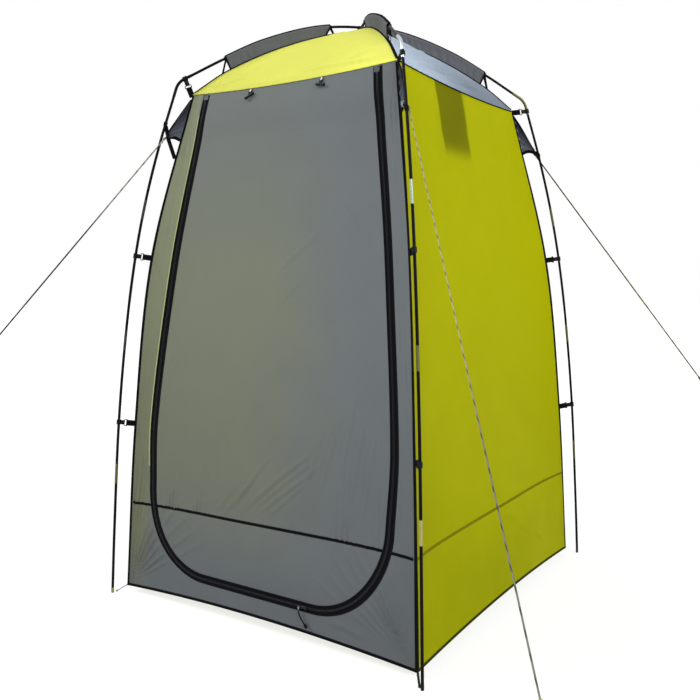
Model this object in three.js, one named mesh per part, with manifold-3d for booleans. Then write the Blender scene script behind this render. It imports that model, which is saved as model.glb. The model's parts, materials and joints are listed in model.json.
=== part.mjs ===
// Privacy shower tent: a square cloth cabin hung inside two crossed, bowed rod arches.
// Millimetres, +Z up. The origin is on the ground under the middle of the tent, the door faces -Y.
// Corners are named fl, fr, br and bl: front or back, left or right, as seen from the door side.

import * as THREE from 'three';
import { mergeVertices } from 'three/addons/utils/BufferGeometryUtils.js';
import Module from 'manifold-3d';

const wasm = await Module();
wasm.setup();

// Clearances
const touchGap = 0.3;
const cutOverrun = 40;

// Cabin cloth: the walls lean in from the hem to the eave with a slight bow
const clothThickness = 1.8;
const hemHalfWidth = 601;
const eaveHalfWidth = 430;
const hemHeight = 22;
const eaveHeight = 1780;
const hemRise = 20;
const wallStep = 220;
const seamTapeHeight = 335;
const seamTapeWidth = 9;
const seamTapeThickness = 1;
const bindingWidth = 11;
const bindingThickness = 1.2;
const bindingTopDrop = 6;
// Shares of the height from hem to eave, with shares of the way in from hem to eave
const lowClipShare = 0.3356;
const midClipShare = 0.6712;
const lowInShare = 0.1287;
const midInShare = 0.386;

// Roof cloth: its rise above the eave, and its dome as shares of the half width and of the rise
const roofRise = 261;
const roofDomeShares = [
  [0, 1],
  [0.172, 0.946],
  [0.493, 0.697],
  [0.802, 0.337],
  [1, 0],
];
const roofStep = 62;
const roofHemDrop = 2;
const roofHemSag = 13;
const roofHemTape = 1;
const roofHemTapeWidth = 12;

// Door: a straight sill, two elliptical corners and two arms that follow the wall's own lean
const sillHeight = 119;
const doorCornerRise = 281;
const doorTopDrop = 15;
const doorHingeDrop = 66;
const doorCornerFacets = 7;
const doorArmStep = 190;
const zipTapeWidth = 18;
const zipTapeThickness = 1.4;
const zipTeethWidth = 3.2;
const zipTeethRise = 2.6;
const zipTopDrop = 20;
const sillShare = 0.46;
// Shares of the arm's height, with shares of the wall's half width there
const doorArmShares = [
  [0, 0.833],
  [0.161, 0.857],
  [0.502, 0.825],
  [0.799, 0.818],
  [1, 0.832],
];

// Zip sliders and the pull
const sliderPlace = 194;
const sliderLength = 17;
const sliderWidth = 12;
const sliderWaist = 8;
const sliderThickness = 3.2;
const sliderBevel = 0.8;
const bailWidth = 1.7;
const bailGap = 3;
const bailWall = 1.2;
const bailLength = 10;
const pullReach = 34;
const pullDrop = 62;
const pullCordRadius = 1.4;
const pullKnotRadius = 2.6;
const pullKnotLength = 14;
const pullLoopWire = 0.9;
const pullLoopDrop = 9;
const pullBow = 4;

// Toggles on the front roof hem
const togglePlace = 150;
const toggleBarLength = 38;
const toggleBarRadius = 3.6;
const toggleWaistRadius = 2.6;
const toggleLoopDrop = 27;
const toggleLoopHalfWidth = 4;
const toggleCordRadius = 1.3;
const toggleWallGap = 2.2;
const toggleTilts = { left: 0.2, right: -0.15 };

// Rod arches: the rods stand off the corner seams and roof ridges by shares of the clip's reach
const rodRadius = 4.75;
const clipReach = 55;
const elbowStandoff = 52;
const elbowRise = 42;
const archStep = 58;
const rodStep = 110;
// Shares of the eave's height, with shares of the clip's reach
const legStandoffShares = [
  [0, 0.925],
  [0.129, 0.96],
  [0.344, 1],
  [0.534, 0.965],
  [0.675, 0.99],
  [0.789, 1.127],
  [0.899, 1.23],
  [1, 1.205],
];
// Shares of the eave's reach along the diagonal, with shares of the clip's reach
const archStandoffShares = [
  [0, 0.4],
  [0.281, 0.69],
  [0.59, 0.893],
  [0.827, 0.971],
];

// Rod joints, elbows and feet
const rodJointShares = [0, 0.2404, 0.5067, 0.7674];
const ferruleLength = 70;
const ferruleRadius = 6.1;
const socketRadius = 5.4;
const socketDepth = 33;
const elbowRadius = 6.6;
const elbowBend = 26;
const elbowSocket = 30;
const footRadius = 6;
const footLength = 28;
const footChamfer = 1.5;

// Rod sleeves on the roof ridges
const sleeveLowShare = 0.809;
const sleeveHighShare = 0.184;
const sleeveRadius = 7.4;
const sleeveBoreRadius = 5.9;
const sleeveFinThickness = 2;
const sleeveEndSlant = 16;
const sleeveTabSlant = 9;
const sleeveTabWidth = 6;

// Webbing straps with their rings and rod hooks
const strapWidth = 20;
const strapThickness = 1.8;
const strapShare = 0.46;
const ringLength = 13;
const ringHeight = 25;
const ringWire = 2.8;
const hookWall = 2.6;
const hookHeight = 10;
const hookClearance = 0.55;
const hookNeckWidth = 7;
const hookNeckThickness = 4.4;
const hookMouthShares = [0.05, 0.25];
const topClipDrop = 12;
const topClipLegReach = 40;
const topClipArchReach = 33;

// Corner gussets and the rings for the guy lines
const gussetThickness = 1.5;
const gussetTopDrop = 35;
const gussetTipDrop = 152;
const gussetLowDrop = 168;
const gussetTipStandoff = 17;
const gussetTipWidth = 12;
const collarHeight = 14;
const collarWall = 1.5;
const collarClearance = 0.6;
const collarDrop = 168;
const raisedCollarDrop = 108;
const tieDrop = 230;
const tieWidth = 14;
const guyRingRadius = 10;
const guyRingWire = 1.5;

// Inner pocket on the right wall, hanging plumb from the eave
const pocketWidth = 200;
const pocketCentre = -100;
const pocketDrop = 235;
const pocketDepth = 16;
const pocketCloth = 1.6;
const pocketTopDrop = 12;

// Guy lines, from the gusset rings to just past the edge of the view; ends as [x, y, z]
const guyRadius = 1.5;
const guyStep = 150;
const guyEnds = {
  fl: [-912, -912, 890],
  fr: [1208, -1208, 352],
  br: [1050, 1050, 670],
};

// Facet counts
const rodSides = 10;
const ferruleSides = 12;
const elbowSteps = 4;
const jawSteps = 12;
const ringSteps = 12;
const cordSides = 8;
const sewnSides = 6;
const latheSides = 12;

const diagonal = Math.SQRT2;
const quarterTurn = Math.PI / 2;
const eighthTurn = Math.PI / 4;
const cornerTurns = { fl: -3 * eighthTurn, fr: -eighthTurn, br: eighthTurn, bl: 3 * eighthTurn };
const sideTurns = { front: 0, right: quarterTurn, back: 2 * quarterTurn, left: 3 * quarterTurn };

// Materials
const material = (color, roughness, metalness = 0) =>
  new THREE.MeshStandardMaterial({ color, roughness, metalness, side: THREE.DoubleSide });
const materials = {
  slate: material(0x70767a, 0.8),
  lime: material(0xaeb41c, 0.75),
  yellow: material(0xe6e65a, 0.75),
  mist: material(0xaebccb, 0.8),
  webbing: material(0x16171b, 0.85),
  rod: material(0x0c0d0f, 0.4),
  steel: material(0xb9bec4, 0.3, 0.9),
  plastic: material(0x0f1013, 0.45),
  guy: material(0x8f8a3a, 0.8),
  mesh: material(0x4a5030, 0.9),
};

// Solids
const dropAttributes = (geometry) => {
  geometry.deleteAttribute('normal');
  geometry.deleteAttribute('uv');
  return geometry;
};
const solid = (geometry) => {
  const merged = mergeVertices(dropAttributes(geometry));
  const vertProperties = new Float32Array(merged.attributes.position.array);
  const triVerts = new Uint32Array(merged.index.array);
  return new wasm.Manifold(new wasm.Mesh({ numProp: 3, vertProperties, triVerts }));
};
const join = (parts) => parts.reduce((whole, part) => whole.add(part));
const cutBy = (whole, cutters) => cutters.reduce((left, cutter) => left.subtract(cutter), whole);
const keepIn = (whole, limits) => limits.reduce((left, limit) => left.intersect(limit), whole);
const geometryOf = (shape) => {
  const mesh = shape.getMesh();
  const geometry = new THREE.BufferGeometry();
  geometry.setAttribute('position', new THREE.BufferAttribute(new Float32Array(mesh.vertProperties), 3));
  geometry.setIndex(new THREE.BufferAttribute(new Uint32Array(mesh.triVerts), 1));
  geometry.computeVertexNormals();
  return geometry;
};

// A smooth rule through hand-chosen places [at, value], with at rising
const smoothThrough = (places) => {
  const slopes = places.map((place, i) => {
    const before = places[Math.max(i - 1, 0)];
    const after = places[Math.min(i + 1, places.length - 1)];
    return (after[1] - before[1]) / (after[0] - before[0]);
  });
  return (at) => {
    const last = places.length - 1;
    if (at <= places[0][0]) return places[0][1] + slopes[0] * (at - places[0][0]);
    if (at >= places[last][0]) return places[last][1] + slopes[last] * (at - places[last][0]);
    const i = places.findIndex((place) => place[0] > at) - 1;
    const span = places[i + 1][0] - places[i][0];
    const t = (at - places[i][0]) / span;
    const rise = t * t * (3 - 2 * t);
    const ease = (1 - t) * (1 - t) * t * span;
    const brake = t * t * (t - 1) * span;
    const between = places[i][1] * (1 - rise) + places[i + 1][1] * rise;
    return between + slopes[i] * ease + slopes[i + 1] * brake;
  };
};
const stepsBetween = (from, to, step) => {
  const count = Math.max(1, Math.round(Math.abs(to - from) / step));
  return Array.from({ length: count + 1 }, (_, i) => from + ((to - from) * i) / count);
};

// Cloth and rod lines
const wallHeight = eaveHeight - hemHeight;
const wallLean = hemHalfWidth - eaveHalfWidth;
const lowClipHeight = hemHeight + lowClipShare * wallHeight;
const midClipHeight = hemHeight + midClipShare * wallHeight;
const wallHalfWidth = smoothThrough([
  [hemHeight, hemHalfWidth],
  [lowClipHeight, hemHalfWidth - lowInShare * wallLean],
  [midClipHeight, hemHalfWidth - midInShare * wallLean],
  [eaveHeight, eaveHalfWidth],
]);
const roofHeight = smoothThrough(
  roofDomeShares.map(([half, rise]) => [half * eaveHalfWidth, eaveHeight + rise * roofRise]),
);
const doorCornerHeight = sillHeight + doorCornerRise;
const doorTopHeight = eaveHeight - doorTopDrop;
const doorHingeHeight = eaveHeight - doorHingeDrop;
const armHeight = doorTopHeight - doorCornerHeight;
const doorShare = smoothThrough(
  doorArmShares.map(([up, share]) => [doorCornerHeight + up * armHeight, share]),
);
const doorHalfWidth = (z) => wallHalfWidth(z) * doorShare(z);
const doorCornerHalfWidth = doorHalfWidth(doorCornerHeight);
const sillHalfWidth = sillShare * doorCornerHalfWidth;
const flat = (x, y) => new THREE.Vector2(x, y);
const toward = (from, to, distance) => from.clone().add(to.clone().sub(from).setLength(distance));
const eaveReach = eaveHalfWidth * diagonal;
const legStandoff = smoothThrough(
  legStandoffShares.map(([up, share]) => [up * eaveHeight, share * clipReach]),
);
const rodLineReach = (z) => legStandoff(z) + wallHalfWidth(z) * diagonal;
const elbowCorner = flat(eaveReach + elbowStandoff, eaveHeight + elbowRise);
const archStandoff = smoothThrough(
  archStandoffShares.map(([out, share]) => [out * eaveReach, share * clipReach]),
);
const archPoint = (share) => {
  const reach = share * eaveReach;
  return flat(reach, roofHeight(reach / diagonal) + archStandoff(reach));
};
const lastOf = (list) => list[list.length - 1];
const archShoulder = archPoint(lastOf(archStandoffShares)[0]);
const legShoulderHeight = legStandoffShares[legStandoffShares.length - 2][0] * eaveHeight;
const legShoulder = flat(rodLineReach(legShoulderHeight), legShoulderHeight);
const legMouth = toward(elbowCorner, legShoulder, elbowBend + elbowSocket);
const legTop = toward(elbowCorner, legShoulder, elbowBend + touchGap);
const archMouth = toward(elbowCorner, archShoulder, elbowBend + elbowSocket);
const archEnd = toward(elbowCorner, archShoulder, elbowBend + touchGap);
const legReach = smoothThrough([
  ...legStandoffShares.slice(0, -1).map(([up]) => [up * eaveHeight, rodLineReach(up * eaveHeight)]),
  [legMouth.y, legMouth.x],
  [legTop.y, legTop.x],
]);
const archHeight = (drop) => {
  const places = archStandoffShares.map(([share]) => archPoint(share));
  const [top, crown] = places;
  return smoothThrough([
    [-crown.x, crown.y],
    [0, top.y - drop],
    ...places.slice(1).map((point) => [point.x, point.y]),
    [archMouth.x, archMouth.y],
    [archEnd.x, archEnd.y],
  ]);
};
const archDrops = { a: 0, b: 2 * rodRadius + touchGap };
const archTopHeight = archPoint(0).y;
const cornerArch = { fl: 'a', br: 'a', fr: 'b', bl: 'b' };

// Reads how far out a rising line is at a height
const reachAt = (line, z) => {
  const i = Math.max(1, line.findIndex((point) => point.y >= z));
  const t = (z - line[i - 1].y) / (line[i].y - line[i - 1].y);
  return line[i - 1].x + (line[i].x - line[i - 1].x) * t;
};

// Moves a line sideways by a distance, to the right of its direction
const sideways = (line, distance) =>
  line.map((point, i) => {
    const before = line[Math.max(i - 1, 0)];
    const after = line[Math.min(i + 1, line.length - 1)];
    const into = point.clone().sub(before).normalize();
    const out = after.clone().sub(point).normalize();
    const along = into.clone().add(out).normalize();
    const widen = Math.max(into.dot(along), out.dot(along));
    return flat(point.x + (along.y * distance) / widen, point.y - (along.x * distance) / widen);
  });

// Frames: an upright outline extruded across the front, or in the plane of a corner
const upright = new THREE.Matrix4().makeBasis(
  new THREE.Vector3(1, 0, 0),
  new THREE.Vector3(0, 0, 1),
  new THREE.Vector3(0, -1, 0),
);
const sideOn = new THREE.Matrix4().makeBasis(
  new THREE.Vector3(0, -1, 0),
  new THREE.Vector3(0, 0, 1),
  new THREE.Vector3(-1, 0, 0),
);
const extrude = (points, depth) =>
  new THREE.ExtrudeGeometry(new THREE.Shape(points), { depth, bevelEnabled: false });
const frontPrism = (points) =>
  solid(extrude(points, hemHalfWidth + 2 * cutOverrun).applyMatrix4(upright));
const cornerPlate = (points, thickness) =>
  solid(extrude(points, thickness).applyMatrix4(upright).translate(0, thickness / 2, 0));
const sheet = (profile, proud, thickness) => {
  const outline = [...sideways(profile, proud), ...sideways(profile, proud - thickness).reverse()];
  const width = hemHalfWidth + 2 * cutOverrun;
  return solid(extrude(outline, 2 * width).applyMatrix4(sideOn).translate(width, 0, 0));
};
// The quarter of the plan in front of the diagonals, each set back by an inset
const frontQuarter = (inset) => {
  const set = inset * diagonal;
  const far = hemHalfWidth + 2 * cutOverrun;
  const points = [flat(0, -set), flat(-far, -far - set), flat(far, -far - set)];
  const tall = archTopHeight + 2 * cutOverrun;
  return solid(extrude(points, tall).translate(0, 0, -cutOverrun));
};
const turned = (shape, angle) => {
  const matrix = new THREE.Matrix4().makeRotationZ(angle);
  return shape.transform(matrix.elements);
};

const wallProfile = stepsBetween(hemHeight, eaveHeight, wallStep).map((z) => flat(wallHalfWidth(z), z));
const below = flat(wallHalfWidth(hemHeight - cutOverrun), hemHeight - cutOverrun);
const above = flat(wallHalfWidth(eaveHeight + cutOverrun), eaveHeight + cutOverrun);
const cabinProfile = [below, ...wallProfile, above];
const wallFace = (z, proud) => reachAt(sideways(cabinProfile, proud), z);
const roofProfile = [
  flat(wallHalfWidth(eaveHeight - cutOverrun), eaveHeight - cutOverrun),
  ...stepsBetween(eaveHalfWidth, 0, roofStep).map((half) => flat(half, roofHeight(half))),
  flat(-cutOverrun, roofHeight(cutOverrun)),
];
const quarter = frontQuarter(touchGap / 2);

// A band across the front between two heights, each a rule of the place across
const across = (half) => stepsBetween(-half, half, half / 5);
const frontBand = (low, high) => {
  const half = hemHalfWidth + cutOverrun;
  const places = across(half);
  return frontPrism([
    ...places.map((x) => flat(x, low(x))),
    ...places.reverse().map((x) => flat(x, high(x))),
  ]);
};
const hemLine = (x) => hemHeight + hemRise * (1 - Math.min(1, (x / hemHalfWidth) ** 2));
const roofHemLine = (x) =>
  eaveHeight - roofHemDrop - roofHemSag * (1 - Math.min(1, (x / eaveHalfWidth) ** 2));
const level = (z) => () => z;

// Cabin walls, with the binding sewn round their edges and the seam that joins the skirt
const wallCloth = () => {
  const cloth = sheet(cabinProfile, 0, clothThickness);
  const bound = sheet(cabinProfile, bindingThickness, bindingThickness + clothThickness / 2);
  const seamed = sheet(cabinProfile, seamTapeThickness, seamTapeThickness + clothThickness / 2);
  const body = keepIn(cloth, [quarter, frontBand(hemLine, level(eaveHeight))]);
  const edges = keepIn(bound, [
    quarter.subtract(frontQuarter(bindingWidth)),
    frontBand(hemLine, level(eaveHeight - bindingTopDrop)),
  ]);
  const hem = keepIn(bound, [quarter, frontBand(hemLine, (x) => hemLine(x) + bindingWidth)]);
  const seam = keepIn(seamed, [
    frontQuarter(bindingWidth),
    frontBand(level(seamTapeHeight - seamTapeWidth / 2), level(seamTapeHeight + seamTapeWidth / 2)),
  ]);
  return join([body, edges, hem, seam]);
};

// The zip line: up one arm, round the lower corners and over the sill, moved outward by a distance
const zipLine = (moved, topHeight) => {
  const arm = stepsBetween(topHeight, doorCornerHeight, doorArmStep).map((z) => flat(doorHalfWidth(z), z));
  const corner = Array.from({ length: doorCornerFacets }, (_, i) => {
    const angle = ((i + 1) / doorCornerFacets) * quarterTurn;
    return flat(
      sillHalfWidth + (doorCornerHalfWidth - sillHalfWidth) * Math.cos(angle),
      doorCornerHeight - (doorCornerHeight - sillHeight) * Math.sin(angle),
    );
  });
  const right = [...arm, ...corner];
  const left = right.map((point) => flat(-point.x, point.y)).reverse();
  return sideways([...right, ...left], -moved);
};
const insideZip = (moved, topHeight) => {
  const line = zipLine(moved, topHeight);
  const count = line.length;
  line[0].y = topHeight;
  line[count - 1].y = topHeight;
  return frontPrism(line);
};

// Zip tape and teeth on one side of the zip line, each a raised band
const zipSide = (near, far, topHeight) => {
  const band = (width, rise) => {
    const limits = [near, near + Math.sign(far) * width].map((moved) => insideZip(moved, topHeight));
    const strip = far > 0 ? limits[1].subtract(limits[0]) : limits[0].subtract(limits[1]);
    return sheet(cabinProfile, rise, rise + clothThickness / 2).intersect(strip);
  };
  return band(Math.abs(far), zipTapeThickness).add(band(zipTeethWidth, zipTeethRise));
};
const zipTop = doorTopHeight + touchGap;
const frontWall = () => {
  const hinge = doorHingeHeight + touchGap;
  const opening = insideZip(touchGap, hinge);
  const lintelTop = eaveHeight - zipTopDrop;
  const lintel = frontBand(level(hinge), level(lintelTop));
  const upperTapes = zipSide(touchGap, -zipTapeWidth, zipTop).intersect(lintel);
  const outerTape = zipSide(touchGap, zipTapeWidth, zipTop).intersect(frontBand(level(0), level(lintelTop)));
  return join([wallCloth().subtract(opening), outerTape, upperTapes]).subtract(opening);
};
const doorPanel = () => {
  const hinge = doorHingeHeight - touchGap;
  const cloth = sheet(cabinProfile, 0, clothThickness).intersect(insideZip(-touchGap, hinge));
  const seamed = sheet(cabinProfile, seamTapeThickness, seamTapeThickness + clothThickness / 2);
  const seam = keepIn(seamed, [
    insideZip(-touchGap, hinge),
    frontBand(level(seamTapeHeight - seamTapeWidth / 2), level(seamTapeHeight + seamTapeWidth / 2)),
  ]);
  return join([cloth, zipSide(-touchGap, -zipTapeWidth, hinge), seam]);
};

// A roof gore: its hem hangs over the top of the wall and is turned up with a tape
const roofGore = () => {
  const proud = touchGap + clothThickness;
  const upTo = level(eaveHeight + roofRise + cutOverrun);
  const dome = sheet(roofProfile, proud, clothThickness);
  const cloth = keepIn(dome, [quarter, frontBand(roofHemLine, upTo)]);
  const taped = keepIn(sheet(roofProfile, proud + roofHemTape, roofHemTape + clothThickness / 2), [
    frontQuarter(bindingWidth),
    frontBand(roofHemLine, (x) => roofHemLine(x) + roofHemTapeWidth),
  ]);
  return cloth.add(taped);
};

// Round bars and tubes along a line in the plane of a corner, where x is the reach
const inPlane = (point) => new THREE.Vector3(point.x, 0, point.y);
const circle = (radius) => {
  const shape = new THREE.Shape();
  shape.absarc(0, 0, radius, 0, 2 * Math.PI);
  return shape;
};
const alongCurve = (points, radius, sides, steps) =>
  new THREE.ExtrudeGeometry(circle(radius), {
    curveSegments: sides / 2,
    steps,
    extrudePath: new THREE.CatmullRomCurve3(points),
    bevelEnabled: false,
  });
const closedTube = (points, radius, steps) =>
  solid(new THREE.ExtrudeGeometry(circle(radius), {
    curveSegments: sewnSides / 2,
    steps,
    extrudePath: new THREE.CatmullRomCurve3(points, true),
    bevelEnabled: false,
  }));
const bar = (line, radius, sides = rodSides) =>
  solid(alongCurve(line.map(inPlane), radius, sides, line.length - 1));

// A round pin from one place to another
const pin = (from, to, radius, sides) => {
  const span = to.clone().sub(from);
  const geometry = new THREE.CylinderGeometry(radius, radius, span.length(), sides);
  const axis = new THREE.Vector3(0, 1, 0);
  const turn = new THREE.Quaternion().setFromUnitVectors(axis, span.clone().normalize());
  const middle = from.clone().add(to).divideScalar(2);
  return solid(geometry.applyQuaternion(turn).translate(middle.x, middle.y, middle.z));
};
const legPoint = (z) => flat(legReach(z), z);
const jointHeights = rodJointShares.map((share) => share * eaveHeight);
const legNames = ['foot', 'shin', 'thigh', 'top'];

// A ferrule's middle, its mouth and a place along its axis
const ferrule = (z) => {
  const centre = legPoint(z);
  const mouth = legPoint(z + ferruleLength / 2);
  return { centre, mouth, along: (distance) => toward(centre, mouth, distance) };
};
const socketFloor = ferruleLength / 2 - socketDepth;

// The line of one of the four rods of a leg, straight where it sits in the ferrule below
const rodLine = (index) => {
  const end = index === legNames.length - 1 ? legTop.y : jointHeights[index + 1];
  if (index === 0) return stepsBetween(footLength / 2, end, rodStep).map(legPoint);
  const below = ferrule(jointHeights[index]);
  const start = below.along(socketFloor + 2 * touchGap);
  return [start, ...stepsBetween(below.mouth.y, end, rodStep).map(legPoint)];
};
const rodPlace = (z) => {
  const line = rodLine(jointHeights.filter((height) => height < z).length - 1);
  return flat(reachAt(line, z), z);
};

// All rods but the top one carry the ferrule that takes the next rod
const legRod = (index) => {
  const parts = [bar(rodLine(index), rodRadius)];
  if (index === 0) parts.push(footTip());
  if (index === legNames.length - 1) return join(parts);
  const joint = ferrule(jointHeights[index + 1]);
  const [foot, mouth, floor, beyond] = [
    joint.along(-ferruleLength / 2),
    joint.mouth,
    joint.along(socketFloor),
    joint.along(ferruleLength),
  ].map(inPlane);
  parts.push(pin(foot, mouth, ferruleRadius, ferruleSides));
  return join(parts).subtract(pin(floor, beyond, socketRadius, ferruleSides));
};

// Metal foot tip, flat where it stands on the ground
const footTip = () => {
  const profile = [
    flat(0, 0),
    flat(footRadius - footChamfer, 0),
    flat(footRadius, footChamfer),
    flat(footRadius, footLength - footChamfer),
    flat(rodRadius, footLength),
    flat(0, footLength),
  ];
  const lathe = new THREE.LatheGeometry(profile, latheSides);
  return solid(lathe.rotateX(quarterTurn).translate(legReach(footLength / 2), 0, 0));
};

// Bent metal elbow with a through bore; the rods plug into both ends
const elbow = () => {
  const bendFrom = toward(elbowCorner, legShoulder, elbowBend);
  const bendTo = toward(elbowCorner, archShoulder, elbowBend);
  const bend = new THREE.QuadraticBezierCurve(bendFrom, elbowCorner, bendTo).getPoints(elbowSteps);
  const line = [legMouth, toward(bendFrom, legMouth, elbowSocket / 2), ...bend];
  line.push(toward(bendTo, archMouth, elbowSocket / 2), archMouth);
  return bar(line, elbowRadius).subtract(bar(extended(line, cutOverrun / 2), socketRadius));
};
const extended = (line, extra) => {
  const last = line.length - 1;
  const before = toward(line[0], line[1], -extra);
  const after = toward(line[last], line[last - 1], -extra);
  return [before, ...line, after];
};

// A rod arch over the roof, from elbow to elbow
const archLine = (arch) => {
  const rule = archHeight(archDrops[arch]);
  return stepsBetween(-archEnd.x, archEnd.x, archStep).map((reach) => flat(reach, rule(Math.abs(reach))));
};
const roofRod = (arch) => bar(archLine(arch), rodRadius);
const archPlace = (arch, reach) => {
  const line = archLine(arch);
  const i = line.findIndex((point) => point.x >= reach);
  return line[i - 1].clone().lerp(line[i], (reach - line[i - 1].x) / (line[i].x - line[i - 1].x));
};

// The ridge where two cloth panels meet, in the plane of the corner
const ridge = (profile, proud) => sideways(profile, proud).map((point) => flat(point.x * diagonal, point.y));
const ridgeReach = (z) => reachAt(ridge(cabinProfile, bindingThickness), z) + touchGap;
const roofRidge = ridge(roofProfile, touchGap + clothThickness).map(({ x, y }) => flat(x, y + touchGap));
const ridgePoint = (reach) => {
  const i = roofRidge.findIndex((point, k) => k > 0 && point.x <= reach);
  const [before, after] = [roofRidge[i - 1], roofRidge[i]];
  return before.clone().lerp(after, (reach - before.x) / (after.x - before.x));
};

// Sleeve: a cloth fin on the roof ridge that wraps the rod, with a webbing tab at each end
const sleeve = (arch) => {
  const highReach = sleeveHighShare * eaveReach;
  const lowReach = sleeveLowShare * eaveReach;
  const top = [
    archPlace(arch, highReach),
    ...archLine(arch).filter((point) => point.x > highReach && point.x < lowReach),
    archPlace(arch, lowReach),
  ];
  const lowFoot = ridgePoint(lowReach - sleeveEndSlant);
  const highFoot = ridgePoint(highReach + sleeveEndSlant);
  const foot = roofRidge.filter((point) => point.x < lowFoot.x && point.x > highFoot.x);
  const fin = cornerPlate([...top, lowFoot, ...foot, highFoot].reverse(), sleeveFinThickness);
  const tab = (at, outward) => {
    const head = top[at];
    const near = head.x + outward * sleeveTabSlant;
    const far = near + outward * sleeveTabWidth;
    const back = head.x - outward * sleeveTabWidth;
    const points = [head, ridgePoint(far), ridgePoint(near), archPlace(arch, back)];
    return cornerPlate(outward > 0 ? points.reverse() : points, sleeveFinThickness);
  };
  const wrap = bar(top, sleeveRadius);
  const bore = bar(archLine(arch), sleeveBoreRadius);
  return join([fin, wrap, tab(0, -1), tab(top.length - 1, 1)]).subtract(bore);
};

// A snap hook's jaw: an open ring round the rod, its mouth to one side
const jaw = (at, direction, radius) => {
  const inner = radius + hookClearance;
  const outer = inner + hookWall;
  const [mouthFrom, mouthTo] = hookMouthShares.map((share) => 2 * Math.PI * share);
  const shape = new THREE.Shape();
  shape.absarc(0, 0, outer, mouthTo, 2 * Math.PI + mouthFrom);
  shape.absarc(0, 0, inner, 2 * Math.PI + mouthFrom, mouthTo, true);
  const options = { depth: hookHeight, bevelEnabled: false, curveSegments: jawSteps / 2 };
  const geometry = new THREE.ExtrudeGeometry(shape, options).translate(0, 0, -hookHeight / 2);
  const along = new THREE.Vector3(direction.x, 0, direction.y).normalize();
  const side = new THREE.Vector3(0, 1, 0);
  const out = side.clone().cross(along);
  const frame = new THREE.Matrix4().makeBasis(out, side, along);
  frame.setPosition(at.x, 0, at.y);
  return solid(geometry.applyMatrix4(frame));
};
const oval = (length, height) => {
  const shape = new THREE.Shape();
  shape.absellipse(0, 0, length / 2, height / 2, 0, 2 * Math.PI);
  return shape;
};
const dRing = (at, angle) => {
  const shape = oval(ringLength, ringHeight);
  shape.holes.push(oval(ringLength - 2 * ringWire, ringHeight - 2 * ringWire));
  const options = { depth: ringWire, bevelEnabled: false, curveSegments: ringSteps / 2 };
  const geometry = new THREE.ExtrudeGeometry(shape, options).translate(0, 0, -ringWire / 2);
  return solid(geometry.rotateZ(angle).translate(at.x, at.y, 0).applyMatrix4(upright));
};
// Straight strips in the plane of a corner, from one place to another or from the corner seam
const halfAcross = (from, to, width) => {
  const side = to.clone().sub(from).setLength(width / 2);
  return flat(-side.y, side.x);
};
const strip = (from, to, width, thickness) => {
  const half = halfAcross(from, to, width);
  return cornerPlate(
    [from.clone().sub(half), to.clone().sub(half), to.clone().add(half), from.clone().add(half)],
    thickness,
  );
};
const reachedStrip = (z, to, width, thickness) => {
  const low = flat(ridgeReach(z - width / 2), z - width / 2);
  const high = flat(ridgeReach(z + width / 2), z + width / 2);
  const half = halfAcross(flat(ridgeReach(z), z), to, width);
  return cornerPlate([low, to.clone().sub(half), to.clone().add(half), high], thickness);
};

// Strap, ring and rod hook between the corner seam and a rod
const rodClip = (z, at, direction, radius) => {
  const root = flat(ridgeReach(z), z);
  const span = at.clone().sub(root);
  const strapEnd = root.clone().addScaledVector(span, strapShare);
  const ringCentre = toward(strapEnd, at, ringLength / 2 - ringWire);
  const neckStart = toward(ringCentre, at, ringLength / 2 - ringWire);
  const neckEnd = toward(at, root, radius + hookClearance + hookWall / 2);
  return join([
    reachedStrip(z, strapEnd, strapWidth, strapThickness),
    dRing(ringCentre, Math.atan2(span.y, span.x)),
    strip(neckStart, neckEnd, hookNeckWidth, hookNeckThickness),
    jaw(at, direction, radius),
  ]);
};
const rodDirection = (z) => rodPlace(z + hookHeight).sub(rodPlace(z - hookHeight));
const legClip = (z) => rodClip(z, rodPlace(z), rodDirection(z), rodRadius);
const topClip = (onArch) => {
  const along = onArch ? archShoulder : legShoulder;
  const at = toward(elbowCorner, along, onArch ? topClipArchReach : topClipLegReach);
  return rodClip(eaveHeight - topClipDrop - strapWidth / 2, at, elbowCorner.clone().sub(along), elbowRadius);
};

// Gusset wing in the plane of the corner, tied to the rod by a webbing collar, with the guy ring
const gussetTip = legPoint(eaveHeight - gussetTipDrop).sub(flat(gussetTipStandoff, 0));
const gusset = (raised) => {
  const tip = gussetTip;
  const seam = stepsBetween(eaveHeight - gussetLowDrop, eaveHeight - gussetTopDrop, wallStep / 2);
  const wing = cornerPlate(
    [
      ...seam.map((z) => flat(ridgeReach(z), z)).reverse(),
      flat(tip.x, tip.y - gussetTipWidth / 2),
      flat(tip.x, tip.y + gussetTipWidth / 2),
    ],
    gussetThickness,
  );
  const collarAt = rodPlace(eaveHeight - (raised ? raisedCollarDrop : collarDrop));
  const half = rodDirection(collarAt.y).setLength(collarHeight / 2);
  const bore = rodRadius + collarClearance;
  const from = inPlane(collarAt.clone().sub(half));
  const to = inPlane(collarAt.clone().add(half));
  const collar = pin(from, to, bore + collarWall, ferruleSides);
  const hole = bar(rodLine(legNames.length - 1), bore, ferruleSides);
  const link = strip(tip, toward(collarAt, tip, bore + collarWall / 2), tieWidth, strapThickness);
  const ring = solid(new THREE.TorusGeometry(guyRingRadius, guyRingWire, sewnSides, ringSteps)
    .rotateY(quarterTurn).translate(tip.x, 0, tip.y));
  const parts = [wing, collar, link, ring];
  if (raised) parts.push(reachedStrip(eaveHeight - tieDrop, tip, tieWidth, strapThickness));
  return join(parts).subtract(hole);
};

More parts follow.
